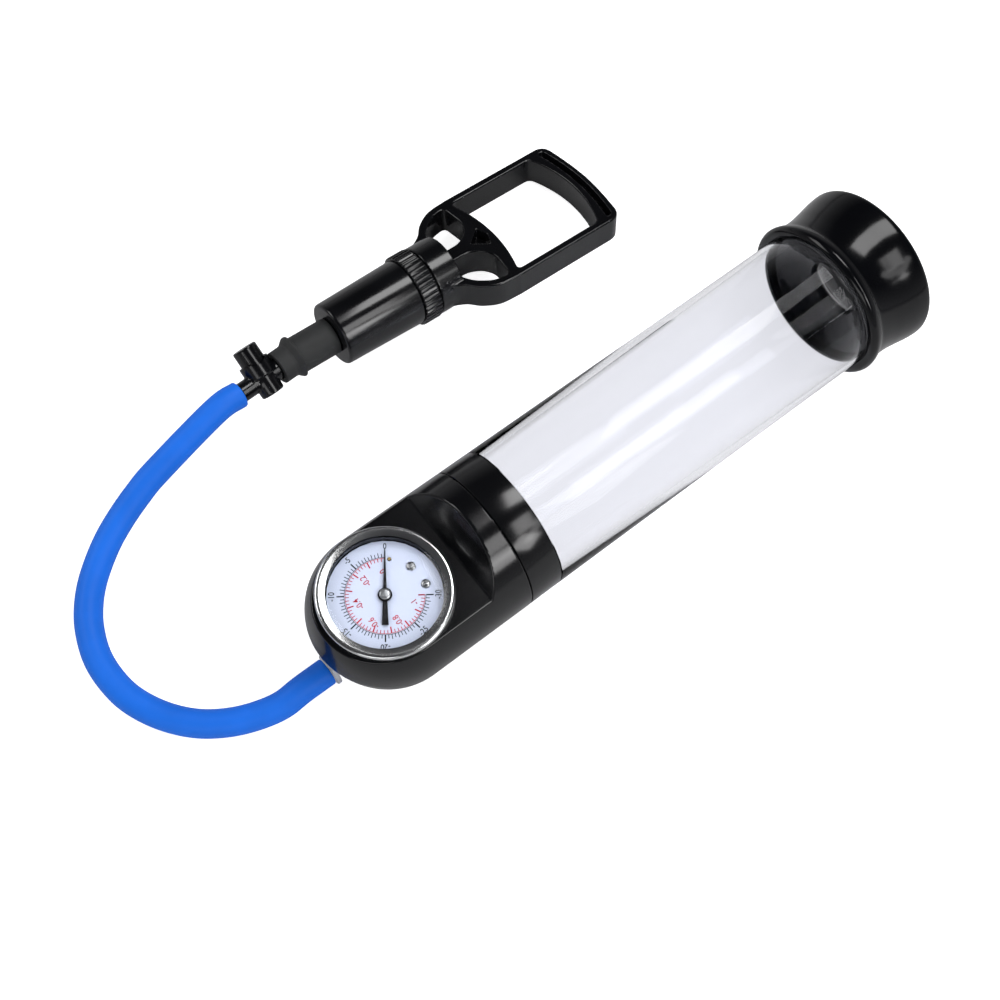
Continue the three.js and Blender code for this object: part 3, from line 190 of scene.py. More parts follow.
MATS = {
    "acrylic": clear("clear_acrylic", (0.955, 0.96, 0.985), 0.0, 1.22, 0.03, 0.8),
    "lens": clear("clear_lens", (0.985, 0.988, 1.0), 0.0, 1.2, 0.004, 0.3),
    "frosted": clear("frosted_plastic", (0.6, 0.61, 0.65), 0.4, 1.3, 0.1, 0.2),
    "gloss": moulded("black_plastic", (0.003, 0.0032, 0.004), 0.16, 0.03, 1500.0, 0.03),
    "sleeve": moulded("black_sleeve", (0.002, 0.0022, 0.003), 0.13, 0.03, 700.0, 0.03, spec=0.32),
    "rubber": moulded("matt_rubber", (0.021, 0.022, 0.023), 0.62, 0.08, 2600.0, 0.25),
    "chrome": metal("bright_chrome", (0.82, 0.83, 0.84), 0.2, 0.05, 500.0, 0.06),
    "brass": metal("plain_brass", (0.62, 0.42, 0.14), 0.33, 0.08, 700.0, 0.1),
    "steel": metal("plain_steel", (0.42, 0.43, 0.44), 0.32, 0.08, 700.0, 0.1),
    "dial": moulded("dial_face", (0.42, 0.465, 0.585), 0.5, 0.04, 2500.0, 0.03, 0.015),
    "needle": moulded("needle_black", (0.003, 0.003, 0.004), 0.45, 0.05, 1500.0, 0.03, spec=0.25),
    "hose": moulded("blue_hose", (0.007, 0.16, 0.8), 0.5, 0.06, 3000.0, 0.1, 0.07, 0.25),
    "mark_black": moulded("mark_black", (0.003, 0.003, 0.004), 0.6, 0.05, 2000.0, 0.02, spec=0.1),
    "mark_red": moulded("mark_red", (0.36, 0.012, 0.02), 0.6, 0.05, 2000.0, 0.02, spec=0.1),
}

# ---------------------------------------------------------------- mesh tools


def finish_piece(obj, look, body, replaced=()):
    obj.data.materials.clear()
    obj.data.materials.append(MATS[look])
    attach(obj, body)
    if replaced:
        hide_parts(*replaced)
    return obj


SHARP_EDGE = math.radians(32)
HOSE_SIDES = 40


def make(name, spots, faces, place, normals=None):
    """An object from points in millimetres in a part's own frame, smooth but for its sharp edges."""
    spots = np.asarray(spots, float)
    turn = np.array(place)
    world = (spots @ turn[:3, :3].T + turn[:3, 3]) * MM
    mesh = bpy.data.meshes.new(name)
    mesh.from_pydata(world.tolist(), [], [list(map(int, f)) for f in faces])
    mesh.validate()
    if normals is None:
        work = bmesh.new()
        work.from_mesh(mesh)
        bmesh.ops.recalc_face_normals(work, faces=work.faces)
        for face in work.faces:
            face.smooth = True
        for edge in work.edges:
            if len(edge.link_faces) == 2:
                edge.smooth = edge.calc_face_angle(0.0) < SHARP_EDGE
        work.to_mesh(mesh)
        work.free()
    else:
        for polygon in mesh.polygons:
            polygon.use_smooth = True
        mesh.normals_split_custom_set_from_vertices((np.asarray(normals) @ turn[:3, :3].T).tolist())
    obj = bpy.data.objects.new(name, mesh)
    bpy.context.scene.collection.objects.link(obj)
    return obj


def softened(points, radius=0.3, steps=3):
    """A closed outline with each corner rounded. A point may carry a radius of its own."""
    out = []
    count = len(points)
    for i, point in enumerate(points):
        here = np.array(point[:2], float)
        reach = point[2] if len(point) > 2 else radius
        before = np.array(points[i - 1][:2], float) - here
        after = np.array(points[(i + 1) % count][:2], float) - here
        lengths = np.linalg.norm(before), np.linalg.norm(after)
        reach = min(reach, lengths[0] / 2.2, lengths[1] / 2.2)
        if reach < 1e-3:
            out.append(here)
            continue
        start = here + before / lengths[0] * reach
        end = here + after / lengths[1] * reach
        for k in range(steps + 1):
            t = k / steps
            out.append((1 - t) ** 2 * start + 2 * t * (1 - t) * here + t * t * end)
    return out


def curve_through(points, steps):
    """Points along a smooth curve through the ones given."""
    points = [np.array(p, float) for p in points]
    ends = [2 * points[0] - points[1], *points, 2 * points[-1] - points[-2]]
    out = []
    for i in range(1, len(ends) - 2):
        a, b, c, d = ends[i - 1 : i + 3]
        square = 2 * a - 5 * b + 4 * c - d
        cube = 3 * b - a - 3 * c + d
        for k in range(steps):
            t = k / steps
            out.append(0.5 * (2 * b + (c - a) * t + square * t * t + cube * t**3))
    out.append(points[-1])
    return out


def lathe(
    name,
    outline,
    place,
    look,
    body,
    replaced=(),
    around=96,
    axis="x",
    ribs=0,
    rib_from=0.0,
    bend=None,
):
    """A closed outline of [along, radius] turned about X or Z. Radii of 0 close on the axis.
    Ribs run along what is further out than rib_from. A bend turns all before a place by degrees."""
    spots, faces, rings = [], [], []
    for along, radius in outline:
        if radius < 1e-6:
            rings.append([len(spots)])
            spots.append((along, 0, 0))
            continue
        rings.append(list(range(len(spots), len(spots) + around)))
        for k in range(around):
            angle = 2 * math.pi * k / around
            out = radius
            if ribs and radius > rib_from:
                groove = 0.5 - 0.5 * math.cos(ribs * angle)
                out -= min(0.6, radius - rib_from) * groove**1.6
            spots.append((along, out * math.cos(angle), out * math.sin(angle)))
    for i, ring in enumerate(rings):
        after = rings[(i + 1) % len(rings)]
        if len(ring) == 1 and len(after) == 1:
            continue
        for k in range(around):
            n = (k + 1) % around
            if len(ring) == 1:
                faces.append((ring[0], after[n], after[k]))
            elif len(after) == 1:
                faces.append((ring[k], ring[n], after[0]))
            else:
                faces.append((ring[k], ring[n], after[n], after[k]))
    spots = np.array(spots, float)
    if axis == "z":
        spots = spots[:, [1, 2, 0]]
    if bend:
        part = np.clip((bend[0] + 1.5 - spots[:, 0]) / 3, 0, 1)
        angle = np.radians(bend[1]) * part * part * (3 - 2 * part)
        x, y = spots[:, 0] - bend[0], spots[:, 1].copy()
        spots[:, 0] = bend[0] + x * np.cos(angle) - y * np.sin(angle)
        spots[:, 1] = x * np.sin(angle) + y * np.cos(angle)
    obj = make(name, spots, faces, place)
    return finish_piece(obj, look, body, replaced)


# Distance fields: each gives, for points in millimetres, how far outside a shape they are.


def both(a, b, r):
    """Where two shapes meet, with the outer edge rounded."""
    return np.minimum(-r, np.maximum(a, b)) + np.hypot(np.maximum(a + r, 0), np.maximum(b + r, 0))


def either(a, b, r):
    """Two shapes together, with a fillet between them."""
    return np.maximum(r, np.minimum(a, b)) - np.hypot(np.maximum(r - a, 0), np.maximum(r - b, 0))


def without(a, b, r):
    return both(a, -b, r)


def bar_x(p, x0, x1, radius, r=0.0):
    side = np.hypot(p[1], p[2]) - radius
    ends = np.maximum(x0 - p[0], p[0] - x1)
    return both(side, ends, r) if r else np.maximum(side, ends)


def bar_z(p, z0, z1, radius, r=0.0):
    side = np.hypot(p[0], p[1]) - radius
    ends = np.maximum(z0 - p[2], p[2] - z1)
    return both(side, ends, r) if r else np.maximum(side, ends)


def outline_distance(x, y, points):
    """Signed distance of points to a closed outline, negative inside."""
    pts = np.array(points, float)
    best = np.full(np.shape(x), 1e9)
    inside = np.zeros(np.shape(x), bool)
    for (ax, ay), (bx, by) in zip(pts, np.roll(pts, -1, axis=0)):
        dx, dy = bx - ax, by - ay
        length = dx * dx + dy * dy
        if length < 1e-12:
            continue
        t = np.clip(((x - ax) * dx + (y - ay) * dy) / length, 0, 1)
        best = np.minimum(best, (x - ax - t * dx) ** 2 + (y - ay - t * dy) ** 2)
        crosses = (ay > y) != (by > y)
        with np.errstate(divide="ignore", invalid="ignore"):
            at = ax + (y - ay) * dx / (dy if dy else 1e-12)
        inside ^= crosses & (x < at)
    return np.where(inside, -1, 1) * np.sqrt(best)


def skin(name, field, low, high, cell, place, look, body, replaced=()):
    """The surface of a distance field as a closed mesh of quads, with normals from the field."""
    cell *= 1
    axes = [np.arange(a - 2 * cell, b + 3 * cell, cell) for a, b in zip(low, high)]
    grid = np.meshgrid(*axes, indexing="ij")
    value = field([g.ravel() for g in grid]).reshape(grid[0].shape)
    value = np.where(np.abs(value) < 1e-7, 1e-7, value)
    inner = value < 0
    shape = [n - 1 for n in value.shape]
    total = np.zeros((*shape, 3))
    hits = np.zeros(shape, int)
    corners = [(i, j, k) for i in (0, 1) for j in (0, 1) for k in (0, 1)]

    def at(corner):
        return tuple(slice(c, c + n) for c, n in zip(corner, shape))

    for a in corners:
        for axis in range(3):
            if a[axis]:
                continue
            b = tuple(c + (i == axis) for i, c in enumerate(a))
            va, vb = value[at(a)], value[at(b)]
            cross = (va < 0) != (vb < 0)
            t = np.where(cross, va / np.where(cross, va - vb, 1), 0)
            spot = np.broadcast_to(np.array(a, float), (*shape, 3)).copy()
            spot[..., axis] += t
            total += np.where(cross[..., None], spot, 0)
            hits += cross
    active = hits > 0
    index = np.full(shape, -1)
    index[active] = np.arange(active.sum())
    cells = np.argwhere(active)
    spots = cells + total[active] / hits[active][:, None]
    spots = spots * cell + np.array([a[0] for a in axes])
    faces = []
    for axis in range(3):
        u, v = (axis + 1) % 3, (axis + 2) % 3
        first = [slice(None)] * 3
        second = [slice(None)] * 3
        first[axis], second[axis] = slice(0, -1), slice(1, None)
        change = inner[tuple(first)] != inner[tuple(second)]
        spot = np.argwhere(change)
        keep = (spot[:, u] > 0) & (spot[:, v] > 0)
        keep &= (spot[:, u] < shape[u]) & (spot[:, v] < shape[v])
        spot = spot[keep]
        quad = []
        for du, dv in ((0, 0), (1, 0), (1, 1), (0, 1)):
            c = spot.copy()
            c[:, u] -= du
            c[:, v] -= dv
            quad.append(index[c[:, 0], c[:, 1], c[:, 2]])
        quad = np.stack(quad, 1)
        out = inner[tuple(first)][tuple(spot.T)]
        quad[~out] = quad[~out][:, ::-1]
        faces.append(quad)
    faces = np.concatenate(faces)
    step = cell * 0.02

    def slope(points):
        rows = []
        for i in range(3):
            near, far = points.copy(), points.copy()
            near[:, i] -= step
            far[:, i] += step
            rows.append((field(list(far.T)) - field(list(near.T))) / (2 * step))
        return np.stack(rows, 1)

    for _ in range(4):
        g = slope(spots)
        size = np.maximum((g * g).sum(1), 0.2)
        move = (field(list(spots.T)) / size)[:, None] * g
        length = np.linalg.norm(move, axis=1, keepdims=True)
        spots = spots - move * np.minimum(1, 0.6 * cell / np.maximum(length, 1e-9))
    g = slope(spots)
    normals = g / np.maximum(np.linalg.norm(g, axis=1, keepdims=True), 1e-9)
    obj = make(name, spots, faces, place, normals)
    return finish_piece(obj, look, body, replaced)


def prism(outline, low, high):
    """A flat outline between two heights, as spots and faces."""
    count = len(outline)
    spots = [(x, y, z) for z in (low, high) for x, y in outline]
    faces = [tuple(range(count))[::-1], tuple(range(count, 2 * count))]
    faces += [(i, (i + 1) % count, count + (i + 1) % count, count + i) for i in range(count)]
    return spots, faces


def together(shapes):
    """Several shapes of spots and faces as one."""
    spots, faces = [], []
    for some_spots, some_faces in shapes:
        faces += [tuple(i + len(spots) for i in face) for face in some_faces]
        spots += some_spots
    return spots, faces


def tube(name, line, outer, bore, look, body, replaced=()):
    """A hose along a line of points in millimetres, with a bore and softened ends."""
    line = np.array([tuple(p) for p in line])
    run = np.concatenate([[0], np.cumsum(np.linalg.norm(np.diff(line, axis=0), axis=1))])
    length = run[-1]
    heading = np.gradient(line, run, axis=0)
    heading /= np.linalg.norm(heading, axis=1, keepdims=True)
    side = np.cross(heading[0], (0, 0, 1.0))
    sides = []
    for way in heading:
        side = side - way * side.dot(way)
        side = side / np.linalg.norm(side)
        sides.append(side)
    sides = np.array(sides)
    start = [(0, bore), (0, outer - 0.6), (0.15, outer - 0.2), (0.6, outer)]
    middle = [(s, outer) for s in np.linspace(1.5, length - 1.5, int(length / 1.2))]
    end = [(length - s, r) for s, r in start[::-1]]
    back = [(s, bore) for s in np.linspace(length - 2, 2, int(length / 4))]
    rings = start + middle + end + back
    spots, faces = [], []
    for s, radius in rings:
        centre = np.array([np.interp(s, run, line[:, i]) for i in range(3)])
        way = np.array([np.interp(s, run, heading[:, i]) for i in range(3)])
        one = np.array([np.interp(s, run, sides[:, i]) for i in range(3)])
        two = np.cross(way, one)
        for k in range(HOSE_SIDES):
            angle = 2 * math.pi * k / HOSE_SIDES
            spots.append(centre + radius * (one * math.cos(angle) + two * math.sin(angle)))
    count = len(rings)
    for i in range(count):
        for k in range(HOSE_SIDES):
            n = (k + 1) % HOSE_SIDES
            low, high = i * HOSE_SIDES, (i + 1) % count * HOSE_SIDES
            faces.append((low + k, low + n, high + n, high + k))
    obj = make(name, spots, faces, Matrix.Identity(4))
    return finish_piece(obj, look, body, replaced)


# ---------------------------------------------------------------- camera


def in_metres(place):
    return Matrix.Translation(place.translation * MM) @ place.to_3x3().to_4x4()


# The camera's axes and its place, in the chamber's frame and in millimetres.
RIGHT = Vector((0.78566859, -0.61772382, 0.03379565))
DOWN = Vector((-0.55838988, -0.73160037, -0.39110309))
AHEAD = Vector((0.26631861, 0.28840627, -0.91972617))
EYE = Vector((-92.696, -156.651, 527.362))
seen_from = Matrix.Translation(EYE) @ Matrix((RIGHT, -DOWN, -AHEAD)).transposed().to_4x4()

lens = bpy.data.cameras.new("camera")
lens.lens = 54.288
lens.sensor_width = 36.0
lens.clip_start = 0.01
camera = bpy.data.objects.new("camera", lens)
camera.matrix_world = in_metres(CHAMBER @ seen_from)
bpy.context.scene.collection.objects.link(camera)
bpy.context.scene.camera = camera

# ---------------------------------------------------------------- hose

HOSE_R = 5.5
HOSE_BORE_R = 2.5

# The route as laid in the CAD source. Both ends are worked out from the barbs below.
LAID = [
    (-34.7, 103.8, 16.2),
    (-45.4, 101.2, 13.8),
    (-55.7, 97.7, 11.4),
    (-65.0, 93.4, 9.4),
    (-73.9, 87.5, 7.8),
    (-81.0, 81.3, 6.7),
    (-86.7, 74.0, 6.0),
    (-90.4, 66.8, 5.7),
    (-93.2, 57.8, 5.7),
    (-93.9, 48.5, 5.7),
    (-92.7, 38.3, 5.7),
    (-89.1, 28.7, 5.7),
    (-83.6, 19.8, 5.7),
    (-76.6, 12.3, 5.7),
    (-68.0, 6.4, 5.8),
    (-58.7, 2.3, 6.1),
    (-49.1, -0.1, 6.7),
]
route = [VALVE @ Vector((HOSE_END_X - RIDGE_X - run, 0, 0)) for run in (0.3, 12.3)]
route += [Vector(point) + SHIFT for point in LAID]
route += [CHAMBER @ Vector((-28 - run, 0, -PASSAGE_DROP)) for run in (12.3, 0.3)]
laid = curve_through(route, 10)
hose = tube("blue_hose", laid, HOSE_R, HOSE_BORE_R, "hose", ROOT, ["hose"])

# ---------------------------------------------------------------- chamber

NECK_START = COLLAR_END - 11.5
NECK_END = COLLAR_END + GAP

lathe(
    "clear_tube",
    softened(
        [
            (NECK_START, BORE_R),
            (NECK_START, NECK_R),
            (NECK_END, NECK_R),
            (NECK_END, TUBE_R),
            (TUBE_END, TUBE_R),
            (TUBE_END, BORE_R),
        ],
        0.25,
    ),
    CHAMBER,
    "acrylic",
    ROOT,
    ["clear_cylinder"],
    around=160,
)
lathe(
    "collar",
    softened(
        [
            (COLLAR_START, NECK_R + GAP),
            (COLLAR_START, TUBE_R),
            (COLLAR_END, TUBE_R),
            (COLLAR_END, NECK_R + GAP),
        ],
        0.3,
    ),
    CHAMBER,
    "gloss",
    ROOT,
    ["collar_ring"],
    around=160,
)

SPIGOT_R = BORE_R - GAP
SPIGOT_END = HEAD_FRONT + 13
HEAD_LATHED = [
    (-40, -5),
    (-40, TUBE_R),
    (HEAD_FRONT - 0.3, TUBE_R),
    (HEAD_FRONT, TUBE_R - 0.3),
    (HEAD_FRONT, SPIGOT_R),
    (50.75, SPIGOT_R),
    (50.75, 24.4),
    (53.35, 24.4),
    (53.35, SPIGOT_R),
    (SPIGOT_END - 1, SPIGOT_R),
    (SPIGOT_END, SPIGOT_R - 1),
    (SPIGOT_END, 23.5),
    (39.2, 23.5),
    (36.2, 20),
    (30, 11.75),
    (30, -5),
]
SCOOP_START = 29
SCOOP_END = 37.2


def scoop(t):
    """The curve of the slanted cut, which starts level with the flat and ends steep."""
    rise, run = 14 * t * t, (SCOOP_END - SCOOP_START) * t * t
    return SCOOP_START + 9.2 * t * (1 - t) + run, FLAT_HEIGHT + 12 * t * (1 - t) + rise


SCOOP = [scoop(t) for t in np.linspace(0, 1, 17)]
ABOVE_HEAD = [(-70, FLAT_HEIGHT), *SCOOP, (SCOOP_END, 70), (-70, 70)]


def head_field(p):
    x, y, z = p
    lathed = outline_distance(x, np.hypot(y, z), HEAD_LATHED)
    up = np.clip(z, 0, FLAT_HEIGHT) / FLAT_HEIGHT
    down = np.clip(-z, 0, TUBE_R) / TUBE_R
    long = TUBE_R - TAIL_TOP_PULL * up**2 - TAIL_LOW_PULL * down**1.2
    wide = np.sqrt(np.maximum(TUBE_R**2 - z * z, 4))
    k = np.hypot(x / long, y / wide)
    tail = k * (k - 1) / np.maximum(np.hypot(x / long**2, y / wide**2), 1e-4)
    solid = np.where(x < 0, np.maximum(lathed, tail), lathed)
    solid = without(solid, outline_distance(x, z, ABOVE_HEAD), 0.45)
    solid = without(solid, bar_z(p, -9, 60, CASE_R + GAP), 0.25)
    low = [x, y, z + PASSAGE_DROP]
    for bore in (
        bar_z(p, -18.3, -8, 3.3),
        bar_z(p, -PASSAGE_DROP, -18, 1.5),
        bar_x(low, -17, 37.2, 1.5),
        bar_x(low, -31, -16, 2.25),
        bar_z([x - 36.7, y, z], -PASSAGE_DROP, -20, 1.5),
    ):
        solid = np.maximum(solid, -bore)
    return solid


HEAD_BOX = (-TUBE_R, -TUBE_R, -TUBE_R), (SPIGOT_END, TUBE_R, TUBE_R)
skin("head", head_field, *HEAD_BOX, 0.6, CHAMBER, "gloss", ROOT, ["gauge_head"])

NIPPLE = CHAMBER @ moved(0, 0, -PASSAGE_DROP)
lathe(
    "head_fitting",
    softened(
        [
            (-38.3, 0.9),
            (-38.3, 1.55),
            (-36.3, 1.95),
            (-36.1, 1.65),
            (-33.8, 1.95),
            (-33.6, 1.65),
            (-31.3, 1.95),
            (-31.1, 1.65),
            (-28, 1.65),
            (-28, 6.5, 0.4),
            (-26.2, 6.5, 0.4),
            (-26.2, 1.65),
            (-16.3, 1.65),
            (-16.3, 0.9),
        ],
        0.1,
    ),
    NIPPLE,
    "frosted",
    ROOT,
    ["head_nipple"],
    around=64,
)

SLEEVE_OUTSIDE = [
    (214.3, 31.2),
    (214.7, 32.9),
    (215.9, 33.9),
    (217.2, 34.1),
    (219.2, 33.5),
    (221.1, 32.5),
    (227.3, 32.3),
    (233.3, 33.0),
    (239.3, 34.0),
    (243.6, 34.38),
    (245.2, 34.0),
    (SLEEVE_END, 33.0),
    (245.9, 31.4),
    (244.4, 30),
    (240, 27.4),
    (234, 22.4),
    (230, 15.4),
    (226.4, 11.2),
    (223.4, 11.9),
]
SLEEVE_INSIDE = [(222.2, 15), (219.2, 20.7), (216.2, 25.2), (216.8, 26.7), (224.3, 26.7), (224.3, 30.3)]
sleeve_line = [(min(x, SLEEVE_END), min(r, FLARE_R)) for x, r in curve_through(SLEEVE_OUTSIDE, 6)]
lathe(
    "sleeve",
    [*sleeve_line, *softened([*SLEEVE_INSIDE, (214.3, 30.3)], 0.2)],
    CHAMBER,
    "sleeve",
    ROOT,
    ["mouth_sleeve"],
    around=160,
)

# ---------------------------------------------------------------- gauge

CASE_LIP = FLAT_HEIGHT + GAP
BEZEL_R = 25.25

lathe(
    "case",
    softened(
        [
            (-8.7, 3.3),
            (-8.7, CASE_R, 0.8),
            (CASE_LIP, CASE_R),
            (CASE_LIP, 24.35),
            (17.1, 24.35),
            (17.1, 21.3, 0.3),
            (-7.5, 21.3),
            (-7.5, 3.3),
        ],
        0.1,
    ),
    CHAMBER,
    "gloss",
    ROOT,
    ["gauge_case"],
    around=128,
    axis="z",
)
lathe(
    "bezel",
    softened(
        [
            (CASE_LIP, 24.65, 0.05),
            (CASE_LIP, BEZEL_R, 0.2),
            (18.75, BEZEL_R, 0.6),
            (19.28, 24.5, 0.5),
            (19.3, 23.6, 0.8),
            (18.78, 21.3, 0.12),
            (18.7, 21.8, 0.05),
            (18.7, 24.65, 0.05),
        ]
    ),
    CHAMBER,
    "chrome",
    ROOT,
    ["gauge_bezel"],
    around=160,
    axis="z",
)
lathe(
    "glass",
    softened([(17.4, 0, 0), (17.4, 24.05), (18.4, 24.05), (18.4, 0, 0)], 0.15),
    CHAMBER,
    "lens",
    ROOT,
    ["gauge_lens"],
    around=128,
    axis="z",
)

DIAL_TOP = 13.9


def screw_field(p):
    x, y, z = p
    dome = np.hypot(np.hypot(x, y), z - 11.6) - 3.35
    head = both(np.hypot(x, y) - 1.7, np.maximum(14.2 - z, dome), 0.12)
    shank = bar_z(p, 11.5, 14.4, 0.8)
    slot = np.maximum(np.abs(y) - 0.22, 14.6 - z)
    return without(np.minimum(head, shank), slot, 0.05)


for label, x, y in (("upper", 14, 3.3), ("lower", 14.2, -5.3)):
    skin(
        f"screw_{label}",
        screw_field,
        (-1.7, -1.7, 11.5),
        (1.7, 1.7, 15),
        0.12,
        CHAMBER @ moved(x, y),
        "steel",
        ROOT,
        [f"dial_screw_{label}"],
    )

ZERO = 54.0
SWEEP = 270.0
DIAL_UP = 180.0


def across(angle, out, along=0.0):
    """A spot on the dial: out from the middle at an angle in degrees, and along to its left."""
    a = math.radians(angle)
    return out * math.cos(a) - along * math.sin(a), out * math.sin(a) + along * math.cos(a)


def tick(angle, near, far, thick):
    half = thick / 2
    corners = [(near, -half), (far, -half), (far, half), (near, half)]
    return prism([across(angle, *corner) for corner in corners], DIAL_TOP + 0.01, DIAL_TOP + 0.04)


def ring_line(radius, thick):
    angles = np.linspace(ZERO, ZERO + SWEEP, 121)
    shapes = []
    for a, b in zip(angles, angles[1:]):
        inner, outer = radius - thick / 2, radius + thick / 2
        corners = [across(a, inner), across(a, outer), across(b, outer), across(b, inner)]
        shapes.append(prism(corners, DIAL_TOP + 0.01, DIAL_TOP + 0.04))
    return shapes


def number(text, height, spot, up):
    """Figures on the dial, as spots and faces, with their tops towards an angle in degrees."""
    letters = bpy.data.curves.new("figures", "FONT")
    letters.body = text
    letters.size = height / 0.7
    letters.align_x = "CENTER"
    letters.align_y = "CENTER"
    letters.offset = 0.012 * height
    letters.resolution_u = 4
    holder = bpy.data.objects.new("figures", letters)
    bpy.context.scene.collection.objects.link(holder)
    flat = bpy.data.meshes.new_from_object(holder.evaluated_get(bpy.context.evaluated_depsgraph_get()))
    bpy.data.objects.remove(holder)
    a = math.radians(up)
    spots = []
    for v in flat.vertices:
        run = 0.86 * v.co.x
        x = spot[0] + run * math.sin(a) + v.co.y * math.cos(a)
        y = spot[1] - run * math.cos(a) + v.co.y * math.sin(a)
        spots.append((x, y, DIAL_TOP + 0.03))
    faces = [tuple(polygon.vertices) for polygon in flat.polygons]
    bpy.data.meshes.remove(flat)
    return spots, faces


def dial_marks(name, shapes, look):
    spots, faces = together(shapes)
    obj = make(name, spots, faces, CHAMBER)
    finish_piece(obj, look, ROOT)


OUTER_RING = 14.6
INNER_RING = 14.2

black = ring_line(OUTER_RING, 0.2)
for i in range(61):
    angle = ZERO + SWEEP / 60 * i
    if i % 10 == 0:
        black.append(tick(angle, OUTER_RING, 17.3, 0.48))
    else:
        black.append(tick(angle, OUTER_RING, 16.4 if i % 2 == 0 else 16.0, 0.28))
for i in range(7):
    angle = ZERO + SWEEP / 6 * i
    off_upright = (angle - DIAL_UP + 180) % 360 - 180
    up = angle if abs(off_upright) < 90 else angle + 180
    black.append(number("0" if i == 0 else f"-{5 * i}", 2.2, across(angle, 19.1), up))
dial_marks("marks_outer", black, "mark_black")

red = ring_line(INNER_RING, 0.2)
for i in range(51):
    near, thick = (11.8, 0.48) if i % 5 == 0 else (12.9, 0.28)
    red.append(tick(ZERO + SWEEP / 50 * i, near, INNER_RING, thick))
RED_NUMBERS = {
    "0": (4.9, 8.0),
    "-0.2": (-2.3, 8.7),
    "-0.4": (-9.3, 3.2),
    "-0.6": (-9.2, -5.8),
    "-0.8": (-1.8, -10.3),
    "-1": (6.95, -8.3),
}
for text, spot in RED_NUMBERS.items():
    red.append(number(text, 2.3, spot, DIAL_UP))
dial_marks("marks_inner", red, "mark_red")

POINTER_FOOT = DIAL_TOP + 0.8
blade_side = [(17.6, 0.15), (2.1, 0.65), (-2.1, 0.8), (-11.3, 1.2)]
blade = blade_side + [(x, -y) for x, y in blade_side[::-1]]
spots, faces = prism(blade, POINTER_FOOT, POINTER_FOOT + 0.4)
hand = make("pointer_blade", spots, faces, CHAMBER @ turned(ZERO, "Z"))
finish_piece(hand, "needle", "needle", ["pointer"])
lathe(
    "pointer_boss",
    softened(
        [
            (POINTER_FOOT, 0.8),
            (POINTER_FOOT, 2.6),
            (POINTER_FOOT + 0.7, 2.6, 0.25),
            (POINTER_FOOT + 0.7, 0.8),
        ],
        0.05,
    ),
    CHAMBER,
    "needle",
    "needle",
    axis="z",
)
lathe(
    "pointer_cap",
    softened([(15.8, 0, 0), (15.8, 2.1), (15.95, 2.1, 0.1), (16.3, 1.55, 0.3), (16.4, 0, 0)], 0.08),
    CHAMBER,
    "steel",
    "needle",
    ["pointer_hub"],
    axis="z",
)

# ---------------------------------------------------------------- pump

lathe(
    "barrel",
    softened(
        [
            (-9, 0.9),
            (-9, 3.2),
            (-8.4, 3.6),
            (0, 3.6),
            (0, 13.6, 1.4),
            (BARREL_LENGTH, 14.45, 0.3),
            (BARREL_LENGTH, BARREL_BORE_R),
            (2.5, BARREL_BORE_R),
            (2.5, 0.9),
        ],
        0.15,
        6,
    ),
    PUMP,
    "gloss",
    ROOT,
    ["pump_barrel"],
    around=160,
)

KNURL_RIBS = 44
ROD_R = 3
cap_outline = softened(
    [
        (33, 9.5),
        (33, 11.5),
        (CAP_START, 11.5),
        (CAP_START, CAP_R, 0.5),
        (CAP_END, CAP_R, 0.6),
        (CAP_END, 5.3, 0.2),
        (42.7, 5.3),
        (42.7, 9.5),
    ],
    0.1,
    3,
)
lathe(
    "ribbed_cap",
    cap_outline,
    PUMP,
    "gloss",
    ROOT,
    ["knurled_cap"],
    around=KNURL_RIBS * 8,
    ribs=KNURL_RIBS,
    rib_from=CAP_R - 0.7,
)
lathe(
    "rod",
    softened([(11, 1.2), (11, ROD_R), (53, ROD_R), (53, 0, 0), (17.7, 0, 0), (17.7, 1.2)], 0.1),
    PUMP,
    "steel",
    "plunger",
    ["piston_rod"],
    around=64,
)


def bowed(side, end, half, count):
    """Points along a shallow arc that bows outwards, from one side of the handle to the other."""
    places = np.linspace(-half, half, count)
    return [(end - (end - side) * (y / half) ** 2, y) for y in places]


RING_START = CAP_END + 0.6
RING_R = 15.3
HANDLE_END = 133.9
HANDLE_HALF_HEIGHT = 6.4
HALF = 26.7
ARM_INSIDE = HALF - 3.4
SHOULDER = [(51.5, -14.6), (53.5, -15.6), (56.5, -17.6), (60.7, -22), (67.6, -25.7), (77, -HALF)]
flank = [tuple(p) for p in curve_through(SHOULDER, 5)]
corner = softened([(118, -HALF + 0.05, 0), (131.1, -HALF, 5.6), (132.9, -14), (133.6, -7)], 0, 9)
corner = [tuple(p) for p in corner]
near_side = [*flank, *corner]
HANDLE = [*near_side, (HANDLE_END, 0), *[(x, -y) for x, y in near_side[::-1]]]
GRIP_WINDOW = softened(
    [*bowed(78.3, 82.6, ARM_INSIDE, 9), *bowed(121, 126, ARM_INSIDE, 9)[::-1]], 2.4, 4
)
FINGER_WINDOW = softened(
    [
        (57.01, 3.2),
        (66.9, 3.2),
        (72.5, 6.2),
        (75.5, 11.2),
        (74.1, ARM_INSIDE),
        (66.5, 22),
        (60.4, 17.4),
        (57.01, 12),
    ],
    2.6,
    5,
)
STEM_POCKET = softened([(71.1, 0), (77.9, 5.2), (80.1, 0), (77.9, -5.2)], 0.8, 3)
GRIP_POCKET = softened(
    [
        *bowed(125.8, 128.7, ARM_INSIDE + 0.3, 9),
        *bowed(128.6, 131.5, ARM_INSIDE + 0.3, 9)[::-1],
    ],
    1,
    3,
)
RING_HOLLOW = [(40, -5), (40, 13.3), (55, 13.3), (55, 5.5), (47.7, 5.5), (47.7, -5)]


